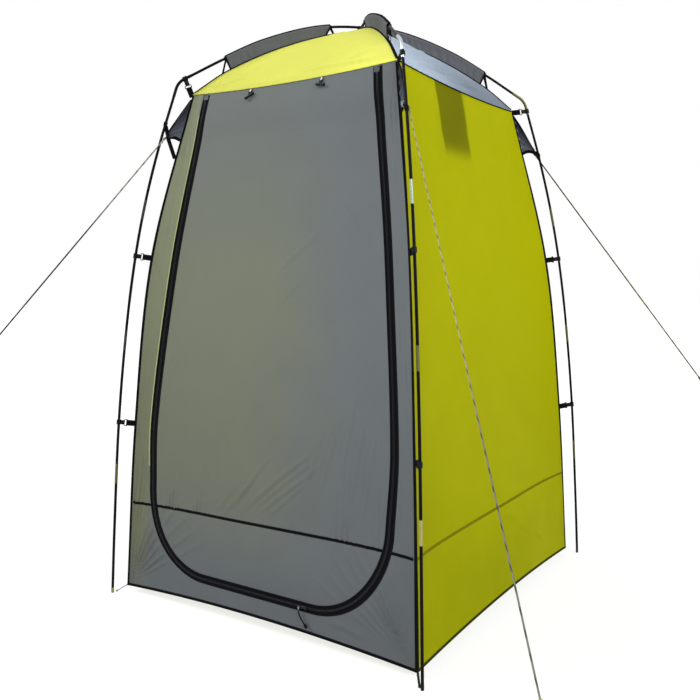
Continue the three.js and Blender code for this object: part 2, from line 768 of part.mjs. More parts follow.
// Guy line: a taut cord from the side of its ring past the rod, down and away from the tent
const guyLine = (corner) => {
  const end = new THREE.Vector3(...guyEnds[corner]);
  const turn = cornerTurns[corner];
  const ringSide = new THREE.Vector3(gussetTip.x, guyRingRadius, gussetTip.y);
  ringSide.applyAxisAngle(new THREE.Vector3(0, 0, 1), turn);
  const direction = end.clone().sub(ringSide).normalize();
  const tilt = Math.hypot(direction.x, direction.y);
  const clear = (guyRingWire + touchGap + guyRadius * -direction.z) / tilt;
  const start = ringSide.clone().addScaledVector(direction, clear);
  const steps = Math.round(start.distanceTo(end) / guyStep);
  return alongCurve([start, end], guyRadius, cordSides, steps);
};

// Zip slider: a waisted plate with a bail on top, lying on the teeth of the sill
const sillOut = wallFace(sillHeight - sliderWidth / 2, zipTeethRise) + touchGap;
const slider = (towardRight) => {
  const half = sliderLength / 2 - sliderBevel;
  const wide = sliderWidth / 2 - sliderBevel;
  const waist = sliderWaist / 2 - sliderBevel;
  const shape = new THREE.Shape([
    flat(-half, -waist), flat(0, -waist), flat(half, -wide),
    flat(half, wide), flat(0, waist), flat(-half, waist),
  ]);
  const depth = sliderThickness - 2 * sliderBevel;
  const options = { depth, bevelSize: sliderBevel, bevelThickness: sliderBevel, bevelSegments: 1 };
  const plate = new THREE.ExtrudeGeometry(shape, options).translate(0, 0, sliderBevel);
  const post = bailLength / 2 - bailWall;
  const bridge = new THREE.Shape([
    flat(-bailLength / 2, -bailWall), flat(-post, -bailWall), flat(-post, bailGap), flat(post, bailGap),
    flat(post, -bailWall), flat(bailLength / 2, -bailWall), flat(bailLength / 2, bailGap + bailWall / 2),
    flat(post, bailGap + bailWall), flat(-post, bailGap + bailWall),
    flat(-bailLength / 2, bailGap + bailWall / 2),
  ]);
  const bail = new THREE.ExtrudeGeometry(bridge, { depth: bailWidth, bevelEnabled: false })
    .translate(0, 0, -bailWidth / 2).rotateX(quarterTurn).translate(0, 0, sliderThickness);
  const body = solid(plate).add(solid(bail));
  const mirror = new THREE.Matrix4().makeScale(towardRight ? 1 : -1, 1, 1);
  const placed = body.transform(mirror.elements);
  const place = sliderPlace + (towardRight ? 1 : -1) * (sliderLength / 2 + touchGap / 2);
  const stand = new THREE.Matrix4().multiplyMatrices(
    new THREE.Matrix4().makeTranslation(place, -sillOut, sillHeight),
    upright,
  );
  return placed.transform(stand.elements);
};

// Zip pull: a cord loop through the bail of the left slider, a short tail and a moulded knot
const pullHinge = () => {
  const x = sliderPlace - sliderLength / 2 - touchGap / 2;
  const out = sillOut + sliderThickness + bailGap + bailWall / 2;
  return new THREE.Vector3(x, -out, sillHeight);
};
const zipPull = () => {
  const at = pullHinge();
  const round = Math.hypot(bailWidth, bailWall) / 2 + touchGap + pullLoopWire;
  const shoulder = round / diagonal;
  const loopLine = [
    [0, round], [shoulder, shoulder], [round, 0], [round, round - pullLoopDrop],
    [0, -pullLoopDrop], [-round, round - pullLoopDrop], [-round, 0], [-shoulder, shoulder],
  ].map(([y, z]) => new THREE.Vector3(at.x, at.y + y, at.z + z));
  const loop = closedTube(loopLine, pullLoopWire, 2 * loopLine.length);
  const top = new THREE.Vector3(at.x, at.y, at.z - pullLoopDrop);
  const end = new THREE.Vector3(at.x + pullReach, at.y, at.z - pullDrop);
  const middle = top.clone().lerp(end, 0.5).add(new THREE.Vector3(-pullBow, 0, 0));
  const cord = solid(alongCurve([top, middle, end], pullCordRadius, cordSides, 6));
  const along = end.clone().sub(middle).normalize();
  const knot = pin(end.clone().addScaledVector(along, -pullKnotLength), end, pullKnotRadius, latheSides);
  return join([loop, cord, knot]);
};

// Toggle: a bar on a cord loop under the front roof hem, for the rolled-up door
const toggleTop = (place) => {
  const z = roofHemLine(place) - toggleCordRadius - 2 * touchGap;
  return new THREE.Vector3(place, -wallFace(z, touchGap + (clothThickness + roofHemTape) / 2), z);
};
const toggleLean = (top) => {
  const wallOut = wallFace(top.z - toggleLoopDrop - toggleBarLength / 4, 0) + top.y;
  return Math.atan((wallOut + toggleBarRadius + toggleWallGap) / toggleLoopDrop);
};
const toggle = (place, tilt) => {
  const top = toggleTop(place);
  const barZ = -toggleLoopDrop;
  const loop = closedTube([
    [-toggleLoopHalfWidth / 2, -toggleCordRadius],
    [-toggleLoopHalfWidth, barZ / 2],
    [-toggleLoopHalfWidth / 2, barZ],
    [toggleLoopHalfWidth / 2, barZ],
    [toggleLoopHalfWidth, barZ / 2],
    [toggleLoopHalfWidth / 2, -toggleCordRadius],
  ].map(([x, z]) => new THREE.Vector3(x, 0, z)), toggleCordRadius, ringSteps);
  const end = toggleBarLength / 2;
  const profile = [
    flat(0, -end), flat(toggleWaistRadius, -end), flat(toggleBarRadius, toggleBarRadius - end),
    flat(toggleWaistRadius, 0), flat(toggleBarRadius, end - toggleBarRadius), flat(toggleWaistRadius, end),
    flat(0, end),
  ];
  const barSolid = solid(new THREE.LatheGeometry(profile, latheSides).rotateZ(quarterTurn + tilt)
    .translate(0, 0, barZ));
  const place3 = new THREE.Matrix4().makeRotationX(-toggleLean(top)).setPosition(top.x, top.y, top.z);
  return loop.add(barSolid).transform(place3.elements);
};

// Inner pocket: two cloth layers with a gaping mouth, hanging plumb under the right-hand eave
const innerPocket = () => {
  const top = eaveHeight - pocketTopDrop;
  const back = wallHalfWidth(top) - clothThickness - touchGap;
  const front = back - pocketDepth;
  const bottom = top - pocketDrop;
  const outer = new THREE.BoxGeometry(pocketDepth, pocketWidth, pocketDrop);
  const hollow = 2 * pocketCloth;
  const inner = new THREE.BoxGeometry(pocketDepth - hollow, pocketWidth - hollow, pocketDrop);
  const centre = (back + front) / 2;
  const bag = solid(outer.translate(centre, pocketCentre, (top + bottom) / 2));
  return bag.subtract(solid(inner.translate(centre, pocketCentre, (top + bottom) / 2 + pocketCloth)));
};

// Assembly
const group = new THREE.Group();
const add = (name, shape, look) => {
  const geometry = shape.isBufferGeometry ? shape : geometryOf(shape);
  const mesh = new THREE.Mesh(geometry, materials[look]);
  mesh.name = name;
  group.add(mesh);
};

add('front_wall', frontWall(), 'slate');
add('door_panel', doorPanel(), 'slate');
for (const [side, look] of [['right', 'lime'], ['back', 'slate'], ['left', 'lime']]) {
  add(`${side}_wall`, turned(wallCloth(), sideTurns[side]), look);
}
const roofLooks = [['front', 'yellow'], ['right', 'mist'], ['back', 'yellow'], ['left', 'mist']];
for (const [side, look] of roofLooks) {
  add(side === 'front' ? 'roof_visor' : `roof_gore_${side}`, turned(roofGore(), sideTurns[side]), look);
}
for (const [corner, turn] of Object.entries(cornerTurns)) {
  const onLeftFront = corner === 'fl';
  legNames.forEach((part, index) => add(`rod_${part}_${corner}`, turned(legRod(index), turn), 'rod'));
  add(`elbow_${corner}`, turned(elbow(), turn), 'steel');
  add(`sleeve_${corner}`, turned(sleeve(cornerArch[corner]), turn), 'slate');
  add(`gusset_${corner}`, turned(gusset(onLeftFront), turn), 'slate');
  add(`clip_low_${corner}`, turned(legClip(lowClipHeight), turn), 'webbing');
  add(`clip_mid_${corner}`, turned(legClip(midClipHeight), turn), 'webbing');
  add(`clip_top_${corner}`, turned(topClip(onLeftFront), turn), 'webbing');
}
add('roof_rod_a', turned(roofRod('a'), cornerTurns.br), 'rod');
add('roof_rod_b', turned(roofRod('b'), cornerTurns.fr), 'rod');
add('inner_pocket', innerPocket(), 'mesh');
add('zip_slider_left', slider(false), 'steel');
add('zip_slider_right', slider(true), 'steel');
add('zip_pull', zipPull(), 'plastic');
add('toggle_left', toggle(-togglePlace, toggleTilts.left), 'plastic');
add('toggle_right', toggle(togglePlace, toggleTilts.right), 'plastic');
for (const corner of Object.keys(guyEnds)) add(`guy_line_${corner}`, guyLine(corner), 'guy');

export default group;
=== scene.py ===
"""Privacy shower tent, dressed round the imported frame.

Metres, +Z up. The origin is on the ground under the middle of the tent and the door faces -Y.
Corners are fl, fr, br and bl: front or back, left or right, as seen from the door side.
A corner's own places are (reach, side, height): out along its diagonal, across it, and up.
"""

import json
import math

import bmesh
import bpy
import numpy as np
from bpy.props import FloatProperty, FloatVectorProperty, PointerProperty
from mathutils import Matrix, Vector


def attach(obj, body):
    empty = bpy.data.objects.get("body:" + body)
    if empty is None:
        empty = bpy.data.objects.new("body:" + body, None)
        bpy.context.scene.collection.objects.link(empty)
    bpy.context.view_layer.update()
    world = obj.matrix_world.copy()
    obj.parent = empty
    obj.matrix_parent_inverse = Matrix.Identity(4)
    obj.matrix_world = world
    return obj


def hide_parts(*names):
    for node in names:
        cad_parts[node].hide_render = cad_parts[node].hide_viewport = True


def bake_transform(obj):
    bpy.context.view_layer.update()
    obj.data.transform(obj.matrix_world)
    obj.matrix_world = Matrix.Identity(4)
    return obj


bl_info = {
    "name": "Privacy shower tent",
    "version": (1, 0, 0),
    "blender": (4, 5, 0),
    "location": "View3D > Sidebar > Tent",
    "description": "Builds the cloth, rods, clips, zip and guy lines of a privacy shower tent",
    "category": "Object",
}

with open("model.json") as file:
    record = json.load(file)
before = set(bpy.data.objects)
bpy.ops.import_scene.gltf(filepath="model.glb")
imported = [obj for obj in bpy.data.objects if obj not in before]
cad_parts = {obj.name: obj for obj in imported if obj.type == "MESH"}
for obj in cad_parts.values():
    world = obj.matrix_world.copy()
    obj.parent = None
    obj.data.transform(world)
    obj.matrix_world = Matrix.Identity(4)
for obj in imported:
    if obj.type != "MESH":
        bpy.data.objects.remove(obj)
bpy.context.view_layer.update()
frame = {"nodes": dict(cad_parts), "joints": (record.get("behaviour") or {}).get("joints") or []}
hinge_places = {joint["name"]: joint["pos_m"] for joint in frame["joints"] if joint["type"] == "hinge"}


# Sizes, most of them those of the CAD part

HEM_HALF, EAVE_HALF = 0.601, 0.430
HEM_HEIGHT, EAVE_HEIGHT = 0.022, 1.780
HEM_RISE = 0.020
SEAM_HEIGHT, SEAM_WIDTH, SEAM_RISE, SEAM_DROP = 0.335, 0.009, 0.0010, 0.012
BINDING_WIDTH, EDGE_WIDTH = 0.011, 0.0072
ROOF_RISE = 0.261
ROOF_HEM_DROP, ROOF_HEM_SAG = 0.002, 0.013
SILL_HEIGHT, DOOR_CORNER_HEIGHT = 0.119, 0.400
DOOR_TOP, ZIP_TOP = 1.765, 1.769
SILL_SHARE = 0.46
ZIP_TAPE_WIDTH = 0.0150
CLEARANCE = 0.0003
PIPING_REACH = 0.0020
ROD_RADIUS, FERRULE_RADIUS, ELBOW_RADIUS = 0.00475, 0.0050, 0.0053
CLIP_REACH = 0.055
FERRULE_LENGTH = 0.070
LOW_CLIP, MID_CLIP = 0.612, 1.202
ROD_JOINTS = (0.0, 0.4279, 0.9019, 1.3660)
FOOT_TIP_TOP, JOINT_GAP = 0.014, 0.0026
DIAGONAL = math.sqrt(2)
CORNER_TURNS = {corner: turn * math.pi for corner, turn in
                (("fl", -0.75), ("fr", -0.25), ("br", 0.25), ("bl", 0.75))}
SIDE_TURNS = {"front": 0.0, "right": 0.5 * math.pi, "back": math.pi, "left": 1.5 * math.pi}
CORNER_ARCH = {"fl": "a", "br": "a", "fr": "b", "bl": "b"}
ARCH_DROPS = {"a": 0.0, "b": 2 * ROD_RADIUS + CLEARANCE}
LEG_PARTS = ("foot", "shin", "thigh", "top")


def smooth_rule(places):
    """A smooth rule through places (at, value), the same cubic as in the CAD part."""
    at = np.array([p[0] for p in places], float)
    value = np.array([p[1] for p in places], float)
    last = len(at) - 1
    slope = np.array([
        (value[min(i + 1, last)] - value[max(i - 1, 0)]) / (at[min(i + 1, last)] - at[max(i - 1, 0)])
        for i in range(last + 1)
    ])

    def rule(x):
        x = np.asarray(x, float)
        i = np.clip(np.searchsorted(at, x, side="right") - 1, 0, last - 1)
        span = at[i + 1] - at[i]
        t = (x - at[i]) / span
        rise = t * t * (3 - 2 * t)
        inside = value[i] * (1 - rise) + value[i + 1] * rise
        inside = inside + slope[i] * (1 - t) ** 2 * t * span + slope[i + 1] * t * t * (t - 1) * span
        low = value[0] + slope[0] * (x - at[0])
        high = value[last] + slope[last] * (x - at[last])
        return np.where(x <= at[0], low, np.where(x >= at[last], high, inside))

    return rule


wall_half = smooth_rule([
    (HEM_HEIGHT, HEM_HALF), (LOW_CLIP, 0.579), (MID_CLIP, 0.535), (EAVE_HEIGHT, EAVE_HALF)
])
roof_height = smooth_rule([
    (share * EAVE_HALF, EAVE_HEIGHT + rise * ROOF_RISE)
    for share, rise in ((0, 1), (0.172, 0.946), (0.493, 0.697), (0.802, 0.337), (1, 0))
])
arm_height = DOOR_TOP - DOOR_CORNER_HEIGHT
door_share = smooth_rule([
    (DOOR_CORNER_HEIGHT + up * arm_height, share)
    for up, share in ((0, 0.833), (0.161, 0.857), (0.502, 0.825), (0.799, 0.818), (1, 0.832))
])
CORNER_HALF = float(wall_half(DOOR_CORNER_HEIGHT) * door_share(DOOR_CORNER_HEIGHT))
SILL_HALF = SILL_SHARE * CORNER_HALF
EAVE_REACH = EAVE_HALF * DIAGONAL


def door_half(z):
    """Half the width between the zip's arms; below them, between its lower corners."""
    z = np.asarray(z, float)
    down = np.clip((DOOR_CORNER_HEIGHT - z) / (DOOR_CORNER_HEIGHT - SILL_HEIGHT), 0, 1)
    corner = SILL_HALF + (CORNER_HALF - SILL_HALF) * np.sqrt(1 - down ** 2)
    return np.where(z >= DOOR_CORNER_HEIGHT, wall_half(z) * door_share(z), corner)


def seam_line(side, x):
    """Height of the skirt seam: it drops a little towards the front left corner."""
    x = np.asarray(x, float)
    if side == "front":
        return SEAM_HEIGHT - SEAM_DROP * np.clip((0.30 - x) / 0.90, 0, 1)
    if side == "left":
        return SEAM_HEIGHT - SEAM_DROP * np.clip((x + 0.60) / 1.20, 0, 1)
    return SEAM_HEIGHT + 0 * x


def hem_line(x):
    return HEM_HEIGHT + HEM_RISE * (1 - np.minimum(1, (np.asarray(x) / HEM_HALF) ** 2))


def roof_hem_line(x):
    return EAVE_HEIGHT - ROOF_HEM_DROP - ROOF_HEM_SAG * (1 - np.minimum(1, (np.asarray(x) / EAVE_HALF) ** 2))


# Rods: how far they stand off the corner seams and the roof ridges
leg_shares = ((0, 0.925), (0.129, 0.96), (0.344, 1), (0.534, 0.965), (0.675, 0.99), (0.789, 1.127),
              (0.899, 1.23), (1, 1.205))
leg_standoff = smooth_rule([(up * EAVE_HEIGHT, share * CLIP_REACH) for up, share in leg_shares])
arch_shares = ((0, 0.4), (0.281, 0.69), (0.59, 0.893), (0.827, 0.971))
arch_standoff = smooth_rule([(out * EAVE_REACH, share * CLIP_REACH) for out, share in arch_shares])
ELBOW_OUT, ELBOW_UP, ELBOW_BEND, ELBOW_SOCKET = 0.052, 0.042, 0.026, 0.030
ELBOW_CORNER = np.array([EAVE_REACH + ELBOW_OUT, EAVE_HEIGHT + ELBOW_UP])


def toward(start, end, distance):
    start, end = np.asarray(start, float), np.asarray(end, float)
    return start + (end - start) * (distance / np.linalg.norm(end - start))


def rod_line_reach(z):
    return leg_standoff(z) + wall_half(z) * DIAGONAL


def arch_place(share):
    reach = share * EAVE_REACH
    return np.array([reach, roof_height(reach / DIAGONAL) + arch_standoff(reach)])


arch_shoulder = arch_place(arch_shares[-1][0])
leg_shoulder_height = leg_shares[-2][0] * EAVE_HEIGHT
leg_shoulder = np.array([rod_line_reach(leg_shoulder_height), leg_shoulder_height])
leg_mouth = toward(ELBOW_CORNER, leg_shoulder, ELBOW_BEND + ELBOW_SOCKET)
leg_top = toward(ELBOW_CORNER, leg_shoulder, ELBOW_BEND + CLEARANCE)
arch_mouth = toward(ELBOW_CORNER, arch_shoulder, ELBOW_BEND + ELBOW_SOCKET)
arch_end = toward(ELBOW_CORNER, arch_shoulder, ELBOW_BEND + CLEARANCE)
leg_reach = smooth_rule(
    [(up * EAVE_HEIGHT, rod_line_reach(up * EAVE_HEIGHT)) for up, _ in leg_shares[:-1]]
    + [(leg_mouth[1], leg_mouth[0]), (leg_top[1], leg_top[0])]
)


def arch_rule(drop):
    top, crown = arch_place(arch_shares[0][0]), arch_place(arch_shares[1][0])
    return smooth_rule(
        [(-crown[0], crown[1]), (0, top[1] - drop)]
        + [tuple(arch_place(share)) for share, _ in arch_shares[1:]]
        + [tuple(arch_mouth), tuple(arch_end)]
    )


arch_heights = {arch: arch_rule(drop) for arch, drop in ARCH_DROPS.items()}
GUSSET_HEIGHT, GUSSET_GAP = 1.628, 0.017
GUSSET_TIP = np.array([float(leg_reach(GUSSET_HEIGHT)) - GUSSET_GAP, GUSSET_HEIGHT])


def ridge_reach(z):
    """How far out the bound corner seam lies."""
    return wall_half(z) * DIAGONAL + PIPING_REACH


# Settings that a user may change

def srgb(red, green, blue):
    """A colour as seen on a screen, 0 to 255, as the linear values that shaders take."""
    return tuple(c / 12.92 if c <= 0.04045 else ((c + 0.055) / 1.055) ** 2.4
                 for c in (red / 255, green / 255, blue / 255))


def colour(name, description, red, green, blue):
    return FloatVectorProperty(
        name=name, description=description, subtype="COLOR", size=3, min=0, max=1,
        default=srgb(red, green, blue)
    )


class TentClothSettings(bpy.types.PropertyGroup):
    """Colours and feel of the sewn cloth."""

    slate: colour("Slate cloth", "Front wall, door and back wall", 108, 113, 117)
    slate_glow: colour("Slate, greener", "The slate cloth where the side walls glow on it", 119, 123, 102)
    lime: colour("Lime cloth", "Right and left walls", 190, 191, 3)
    lime_deep: colour("Lime, deeper", "The lime cloth low down", 158, 161, 2)
    yellow: colour("Visor cloth", "Visor over the door and the gore behind", 249, 250, 118)
    mist: colour("Gore cloth", "Right and left roof gores", 187, 202, 223)
    sleeve: colour("Sleeve cloth", "Rod sleeves", 107, 109, 114)
    # The gusset colour is the sleeve cloth made darker: painted shade under the eave.
    gusset: colour("Gusset cloth", "Corner gussets", 80, 84, 94)
    pocket: colour("Pocket cloth", "Inner pocket", 70, 74, 40)
    light_through: FloatProperty(
        name="Light through", description="How much light the thin cloth lets through", default=0.42,
        min=0, max=0.9, subtype="FACTOR"
    )
    crease_depth: FloatProperty(
        name="Crease depth", description="Depth of the pulls and puckers, as a share of the usual",
        default=1.0, min=0, max=3, subtype="FACTOR"
    )
    thread_pitch: FloatProperty(
        name="Thread pitch", description="Distance between threads of the weave", default=0.0009,
        min=0.0002, max=0.01, subtype="DISTANCE", unit="LENGTH"
    )


class TentRodSettings(bpy.types.PropertyGroup):
    """Rods, ferrules and elbows."""

    rod: colour("Rod", "Coated fibreglass rods", 9, 9, 11)
    metal: colour("Metal", "Front right elbow and guy ring, and the wire of the zip pull", 186, 194, 204)
    rod_roughness: FloatProperty(
        name="Rod roughness", description="Gloss of the rod coating", default=0.28,
        min=0, max=1, subtype="FACTOR"
    )


class TentTrimSettings(bpy.types.PropertyGroup):
    """Webbing, zip, cords and plastic."""

    webbing: colour("Webbing", "Straps, bindings and the seam tapes of the grey walls", 12, 12, 14)
    tape: colour("Zip tape", "Tape on both sides of the zip", 13, 13, 15)
    plastic: colour("Plastic", "Hooks, toggles and the front right foot tip", 14, 15, 17)
    guy: colour("Guy line", "Ground colour of the pale guy line", 172, 168, 112)
    guy_fleck: colour("Guy line flecks", "Flecks of the pale guy line", 104, 102, 84)
    guy_dark: colour("Dark guy line", "Back guy line, and the far part of the left one", 34, 35, 22)


class TentStageSettings(bpy.types.PropertyGroup):
    """Floor and light."""

    floor: colour("Floor", "Pale floor", 236, 236, 236)
    sky: FloatProperty(
        name="Sky light", description="Strength of the even light from all round", default=0.62, min=0, max=4
    )
    key: FloatProperty(
        name="Key light", description="Strength of the light from the upper left", default=1.9, min=0, max=10
    )
    fill: FloatProperty(
        name="Fill light", description="Strength of the light from the right", default=1.9, min=0, max=10
    )


SETTINGS = (
    ("tent_cloth", TentClothSettings),
    ("tent_rods", TentRodSettings),
    ("tent_trim", TentTrimSettings),
    ("tent_stage", TentStageSettings),
)


# Mesh helpers

class Body:
    """Points and faces, with two measures for the materials: run (metres along) and side (-1 to 1 across)."""

    def __init__(self, points, faces, run, side):
        self.points = np.asarray(points, float).reshape(-1, 3)
        self.faces = [tuple(int(i) for i in face) for face in faces]
        self.run = np.broadcast_to(np.asarray(run, float).ravel(), (len(self.points),))
        self.side = np.broadcast_to(np.asarray(side, float).ravel(), (len(self.points),))


def merged(bodies):
    points, faces, run, side, start = [], [], [], [], 0
    for body in bodies:
        points.append(body.points)
        faces += [tuple(i + start for i in face) for face in body.faces]
        run.append(body.run)
        side.append(body.side)
        start += len(body.points)
    return Body(np.concatenate(points), faces, np.concatenate(run), np.concatenate(side))


def turn_z(points, angle):
    points = np.asarray(points, float)
    c, s = math.cos(angle), math.sin(angle)
    x, y = points[..., 0], points[..., 1]
    return np.stack([c * x - s * y, s * x + c * y, points[..., 2]], axis=-1)


def at_corner(corner, reach, side, height):
    """Places in a corner's own measures, as points of the tent."""
    reach, side, height = np.broadcast_arrays(*(np.asarray(v, float) for v in (reach, side, height)))
    return turn_z(np.stack([reach, side, height], axis=-1), CORNER_TURNS[corner])


def upright(corner, line):
    """Places (reach, height) in a corner's upright plane, as points of the tent."""
    line = np.asarray(line, float)
    return at_corner(corner, line[..., 0], 0.0, line[..., 1])


def grid_quads(rows, columns, wrap=False):
    """Faces of a grid of points stored row by row; wrap closes each row into a ring."""
    row, column = np.meshgrid(np.arange(rows - 1), np.arange(columns if wrap else columns - 1), indexing="ij")
    beside = (column + 1) % columns
    quads = np.stack([row * columns + column, row * columns + beside,
                      (row + 1) * columns + beside, (row + 1) * columns + column], axis=-1)
    return quads.reshape(-1, 4).tolist()


def lengths_along(path):
    steps = np.linalg.norm(np.diff(path, axis=0), axis=1)
    return np.concatenate([[0], np.cumsum(steps)])


def unit(vectors):
    return vectors / np.maximum(np.linalg.norm(vectors, axis=-1, keepdims=True), 1e-12)


def rings_body(rings, run, side, closed=False):
    """A closed body from rings of points, capped at both ends unless the rings meet."""
    count, around = rings.shape[:2]
    faces = grid_quads(count, around, wrap=True)
    if closed:
        last = (count - 1) * around
        faces += [[last + i, last + (i + 1) % around, (i + 1) % around, i] for i in range(around)]
    else:
        faces.append(list(range(around))[::-1])
        faces.append([(count - 1) * around + i for i in range(around)])
    return Body(rings.reshape(-1, 3), faces, np.repeat(run, around), np.tile(side, count))


def sweep(path, outline, out, closed=False):
    """Carries an outline of (across, out) pairs along a path. Out is where the second measure points."""
    path = np.asarray(path, float)
    outline = np.asarray(outline, float)
    if outline.ndim == 2:
        outline = np.broadcast_to(outline, (len(path), *outline.shape))
    if closed:
        ahead = np.roll(path, -1, axis=0) - np.roll(path, 1, axis=0)
    else:
        ahead = np.gradient(path, axis=0)
    ahead = unit(ahead)
    out = np.broadcast_to(np.asarray(out, float), path.shape)
    across = unit(np.cross(out, ahead))
    out = np.cross(ahead, across)
    rings = path[:, None] + across[:, None] * outline[..., :1] + out[:, None] * outline[..., 1:]
    widest = np.abs(outline[0, :, 0]).max()
    return rings_body(rings, lengths_along(path), outline[0, :, 0] / max(widest, 1e-9), closed)


def turn_angles(count):
    """Angles spread evenly over one full turn."""
    return np.linspace(0, 2 * math.pi, count, endpoint=False)


def round_outline(sides):
    angle = np.arange(sides) * 2 * math.pi / sides
    return np.stack([np.cos(angle), np.sin(angle)], axis=-1)


def flat_outline(width, thickness, crown=0.0):
    """A strap's outline: flat, with eased edges and a slight crown."""
    w, t, e = width / 2, thickness / 2, min(width, thickness) * 0.3
    return np.array([(-w, -t + e), (-w + e, -t), (0, -t - crown), (w - e, -t), (w, -t + e),
                     (w, t - e), (w - e, t), (0, t + crown), (-w + e, t), (-w, t - e)])


def tube(path, radius, sides, closed=False):
    """A round tube, its radius one number or one for each place on the path."""
    path = np.asarray(path, float)
    ahead = unit(np.gradient(path, axis=0))
    first = np.cross(ahead[0], (0, 0, 1) if abs(ahead[0][2]) < 0.9 else (1, 0, 0))
    carried = [unit(first)]
    for direction in ahead[1:]:
        turned = carried[-1] - direction * np.dot(carried[-1], direction)
        carried.append(unit(turned))
    radius = np.broadcast_to(np.asarray(radius, float).ravel(), (len(path),))
    outline = round_outline(sides)[None] * radius[:, None, None]
    body = sweep(path, outline, np.array(carried), closed)
    body.side = np.tile(np.linspace(-1, 1, sides, endpoint=False), len(path))
    return body


def spline_through(points, count, closed=False):
    """Places on a smooth curve through given points."""
    points = np.asarray(points, float)
    if closed:
        points = np.concatenate([points[-1:], points, points[:2]])
    else:
        points = np.concatenate([2 * points[:1] - points[1:2], points, 2 * points[-1:] - points[-2:-1]])
    spans = len(points) - 3
    at = np.linspace(0, spans, count, endpoint=not closed)
    i = np.minimum(at.astype(int), spans - 1)
    t = (at - i)[:, None]
    p0, p1, p2, p3 = (points[i + k] for k in range(4))
    return 0.5 * (2 * p1 + (p2 - p0) * t + (2 * p0 - 5 * p1 + 4 * p2 - p3) * t ** 2
                  + (3 * p1 - p0 - 3 * p2 + p3) * t ** 3)


def wraps_round(centres, level, above, radius, thick):
    """Turns of thin cord round a line, one at each centre, in the plane of level and above."""
    angle = turn_angles(14)[:, None]
    circle = (level * np.cos(angle) + above * np.sin(angle)) * radius
    return [tube(centre + circle, thick, 8, closed=True) for centre in centres]


def between(start, end, count):
    share = np.linspace(0, 1, count)[:, None]
    return np.asarray(start, float) * (1 - share) + np.asarray(end, float) * share


finishes = {}


def piece(name, body, look, rides="tent", replaced=(), slot=None, sharp=38):
    """Makes one object with the finish named look; when rides names a body of the frame, lets it move with
    that body, and otherwise keeps the object where it is made.
    """
    mesh = bpy.data.meshes.new(name)
    mesh.from_pydata(body.points.tolist(), [], body.faces)
    for measure, values in (("run", body.run), ("side", body.side)):
        attribute = mesh.attributes.new(measure, "FLOAT", "POINT")
        attribute.data.foreach_set("value", np.ascontiguousarray(values, np.float32))
    work = bmesh.new()
    work.from_mesh(mesh)
    bmesh.ops.recalc_face_normals(work, faces=work.faces)
    work.to_mesh(mesh)
    work.free()
    mesh.polygons.foreach_set("use_smooth", np.ones(len(mesh.polygons), bool))
    mesh.set_sharp_from_angle(angle=math.radians(sharp))
    mesh.materials.append(finishes[look])
    made = bpy.data.objects.new(name, mesh)
    bpy.context.scene.collection.objects.link(made)
    if isinstance(rides, str):
        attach(made, rides)
    else:
        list(rides)
        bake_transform(made)
    if replaced:
        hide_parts(*replaced)
    return made


# Creases of the stretched cloth

def ease(value, low, high):
    """0 below low, 1 above high, smooth between."""
    t = np.clip((np.asarray(value, float) - low) / (high - low), 0, 1)
    return t * t * (3 - 2 * t)


def fan_of_pulls(x0, z0, from_angle, to_angle, count, length, depth, wander):
    """Fine pulls that spread from an anchor over a range of angles in degrees."""

    def field(x, z):
        dx, dz = x - x0, z - z0
        far = np.hypot(dx, dz)
        angle = np.degrees(np.arctan2(dz, dx))
        share = (angle - from_angle) / (to_angle - from_angle)
        inside = ease(share, -0.05, 0.12) * (1 - ease(share, 0.88, 1.05))
        fade = ease(far, 0.01, 0.05) * (1 - ease(far, 0.35 * length, length))
        phase = 2 * math.pi * count * share + wander + 0.8 * np.sin(9 * share + wander) + 2 * far / length
        pull = (0.5 + 0.5 * np.cos(phase)) ** 4 * (0.78 + 0.22 * np.sin(5.3 * share * count + wander))
        return depth * inside * fade * np.minimum(1, far / 0.11) * pull

    return field


def long_fold(x0, z0, x1, z1, width, depth):
    """One soft fold along a line."""
    length = math.hypot(x1 - x0, z1 - z0)
    ux, uz = (x1 - x0) / length, (z1 - z0) / length

    def field(x, z):
        along = ((x - x0) * ux + (z - z0) * uz) / length
        across = (x - x0) * uz - (z - z0) * ux
        across = across + 0.25 * width * np.sin(7 * along + 20 * x0)
        ends = ease(along, 0, 0.3) * (1 - ease(along, 0.65, 1))
        ridge, dip = np.exp(-(across / width) ** 2), np.exp(-((across - 1.5 * width) / width) ** 2)
        return depth * ends * (ridge - 0.45 * dip)

    return field


def seam_puckers(x0, x1, spacing, depth, reach, upward, phase, tilted=False):
    """Short gathers above or below the skirt seam; tilted ones follow the front's seam line."""

    def field(x, z):
        level = seam_line("front", x) if tilted else SEAM_HEIGHT
        off = (z - level) if upward else (level - z)
        near = ease(off, -0.004, 0.006) * np.exp(-np.maximum(off, 0) / reach)
        ends = ease(x, x0, x0 + 0.04) * (1 - ease(x, x1 - 0.04, x1))
        swing = 2 * math.pi * x / spacing + 1.9 * np.sin(2 * math.pi * x / (spacing * 5.7) + phase) + phase
        height = 0.55 + 0.45 * np.sin(2 * math.pi * x / (spacing * 8.3) + 2 * phase)
        return depth * near * ends * height * np.sin(swing)

    return field


def arm_streaks(sign, inward, spacing, depth, low, high, reach, phase):
    """Fine streaks that run beside an arm of the zip; inward streaks lie on the door."""

    def field(x, z):
        off = (door_half(z) - sign * x) if inward else (sign * x - door_half(z))
        near = ease(off, 0.012, 0.03) * np.exp(-np.maximum(off - 0.02, 0) / reach)
        span = ease(z, low, low + 0.12) * (1 - ease(z, high - 0.15, high))
        broken = 0.5 + 0.5 * np.sin(11 * z + 60 * off + phase)
        swing = 2 * math.pi * off / spacing + 2.2 * np.sin(4.1 * z + phase)
        return depth * near * span * broken * np.sin(swing)

    return field


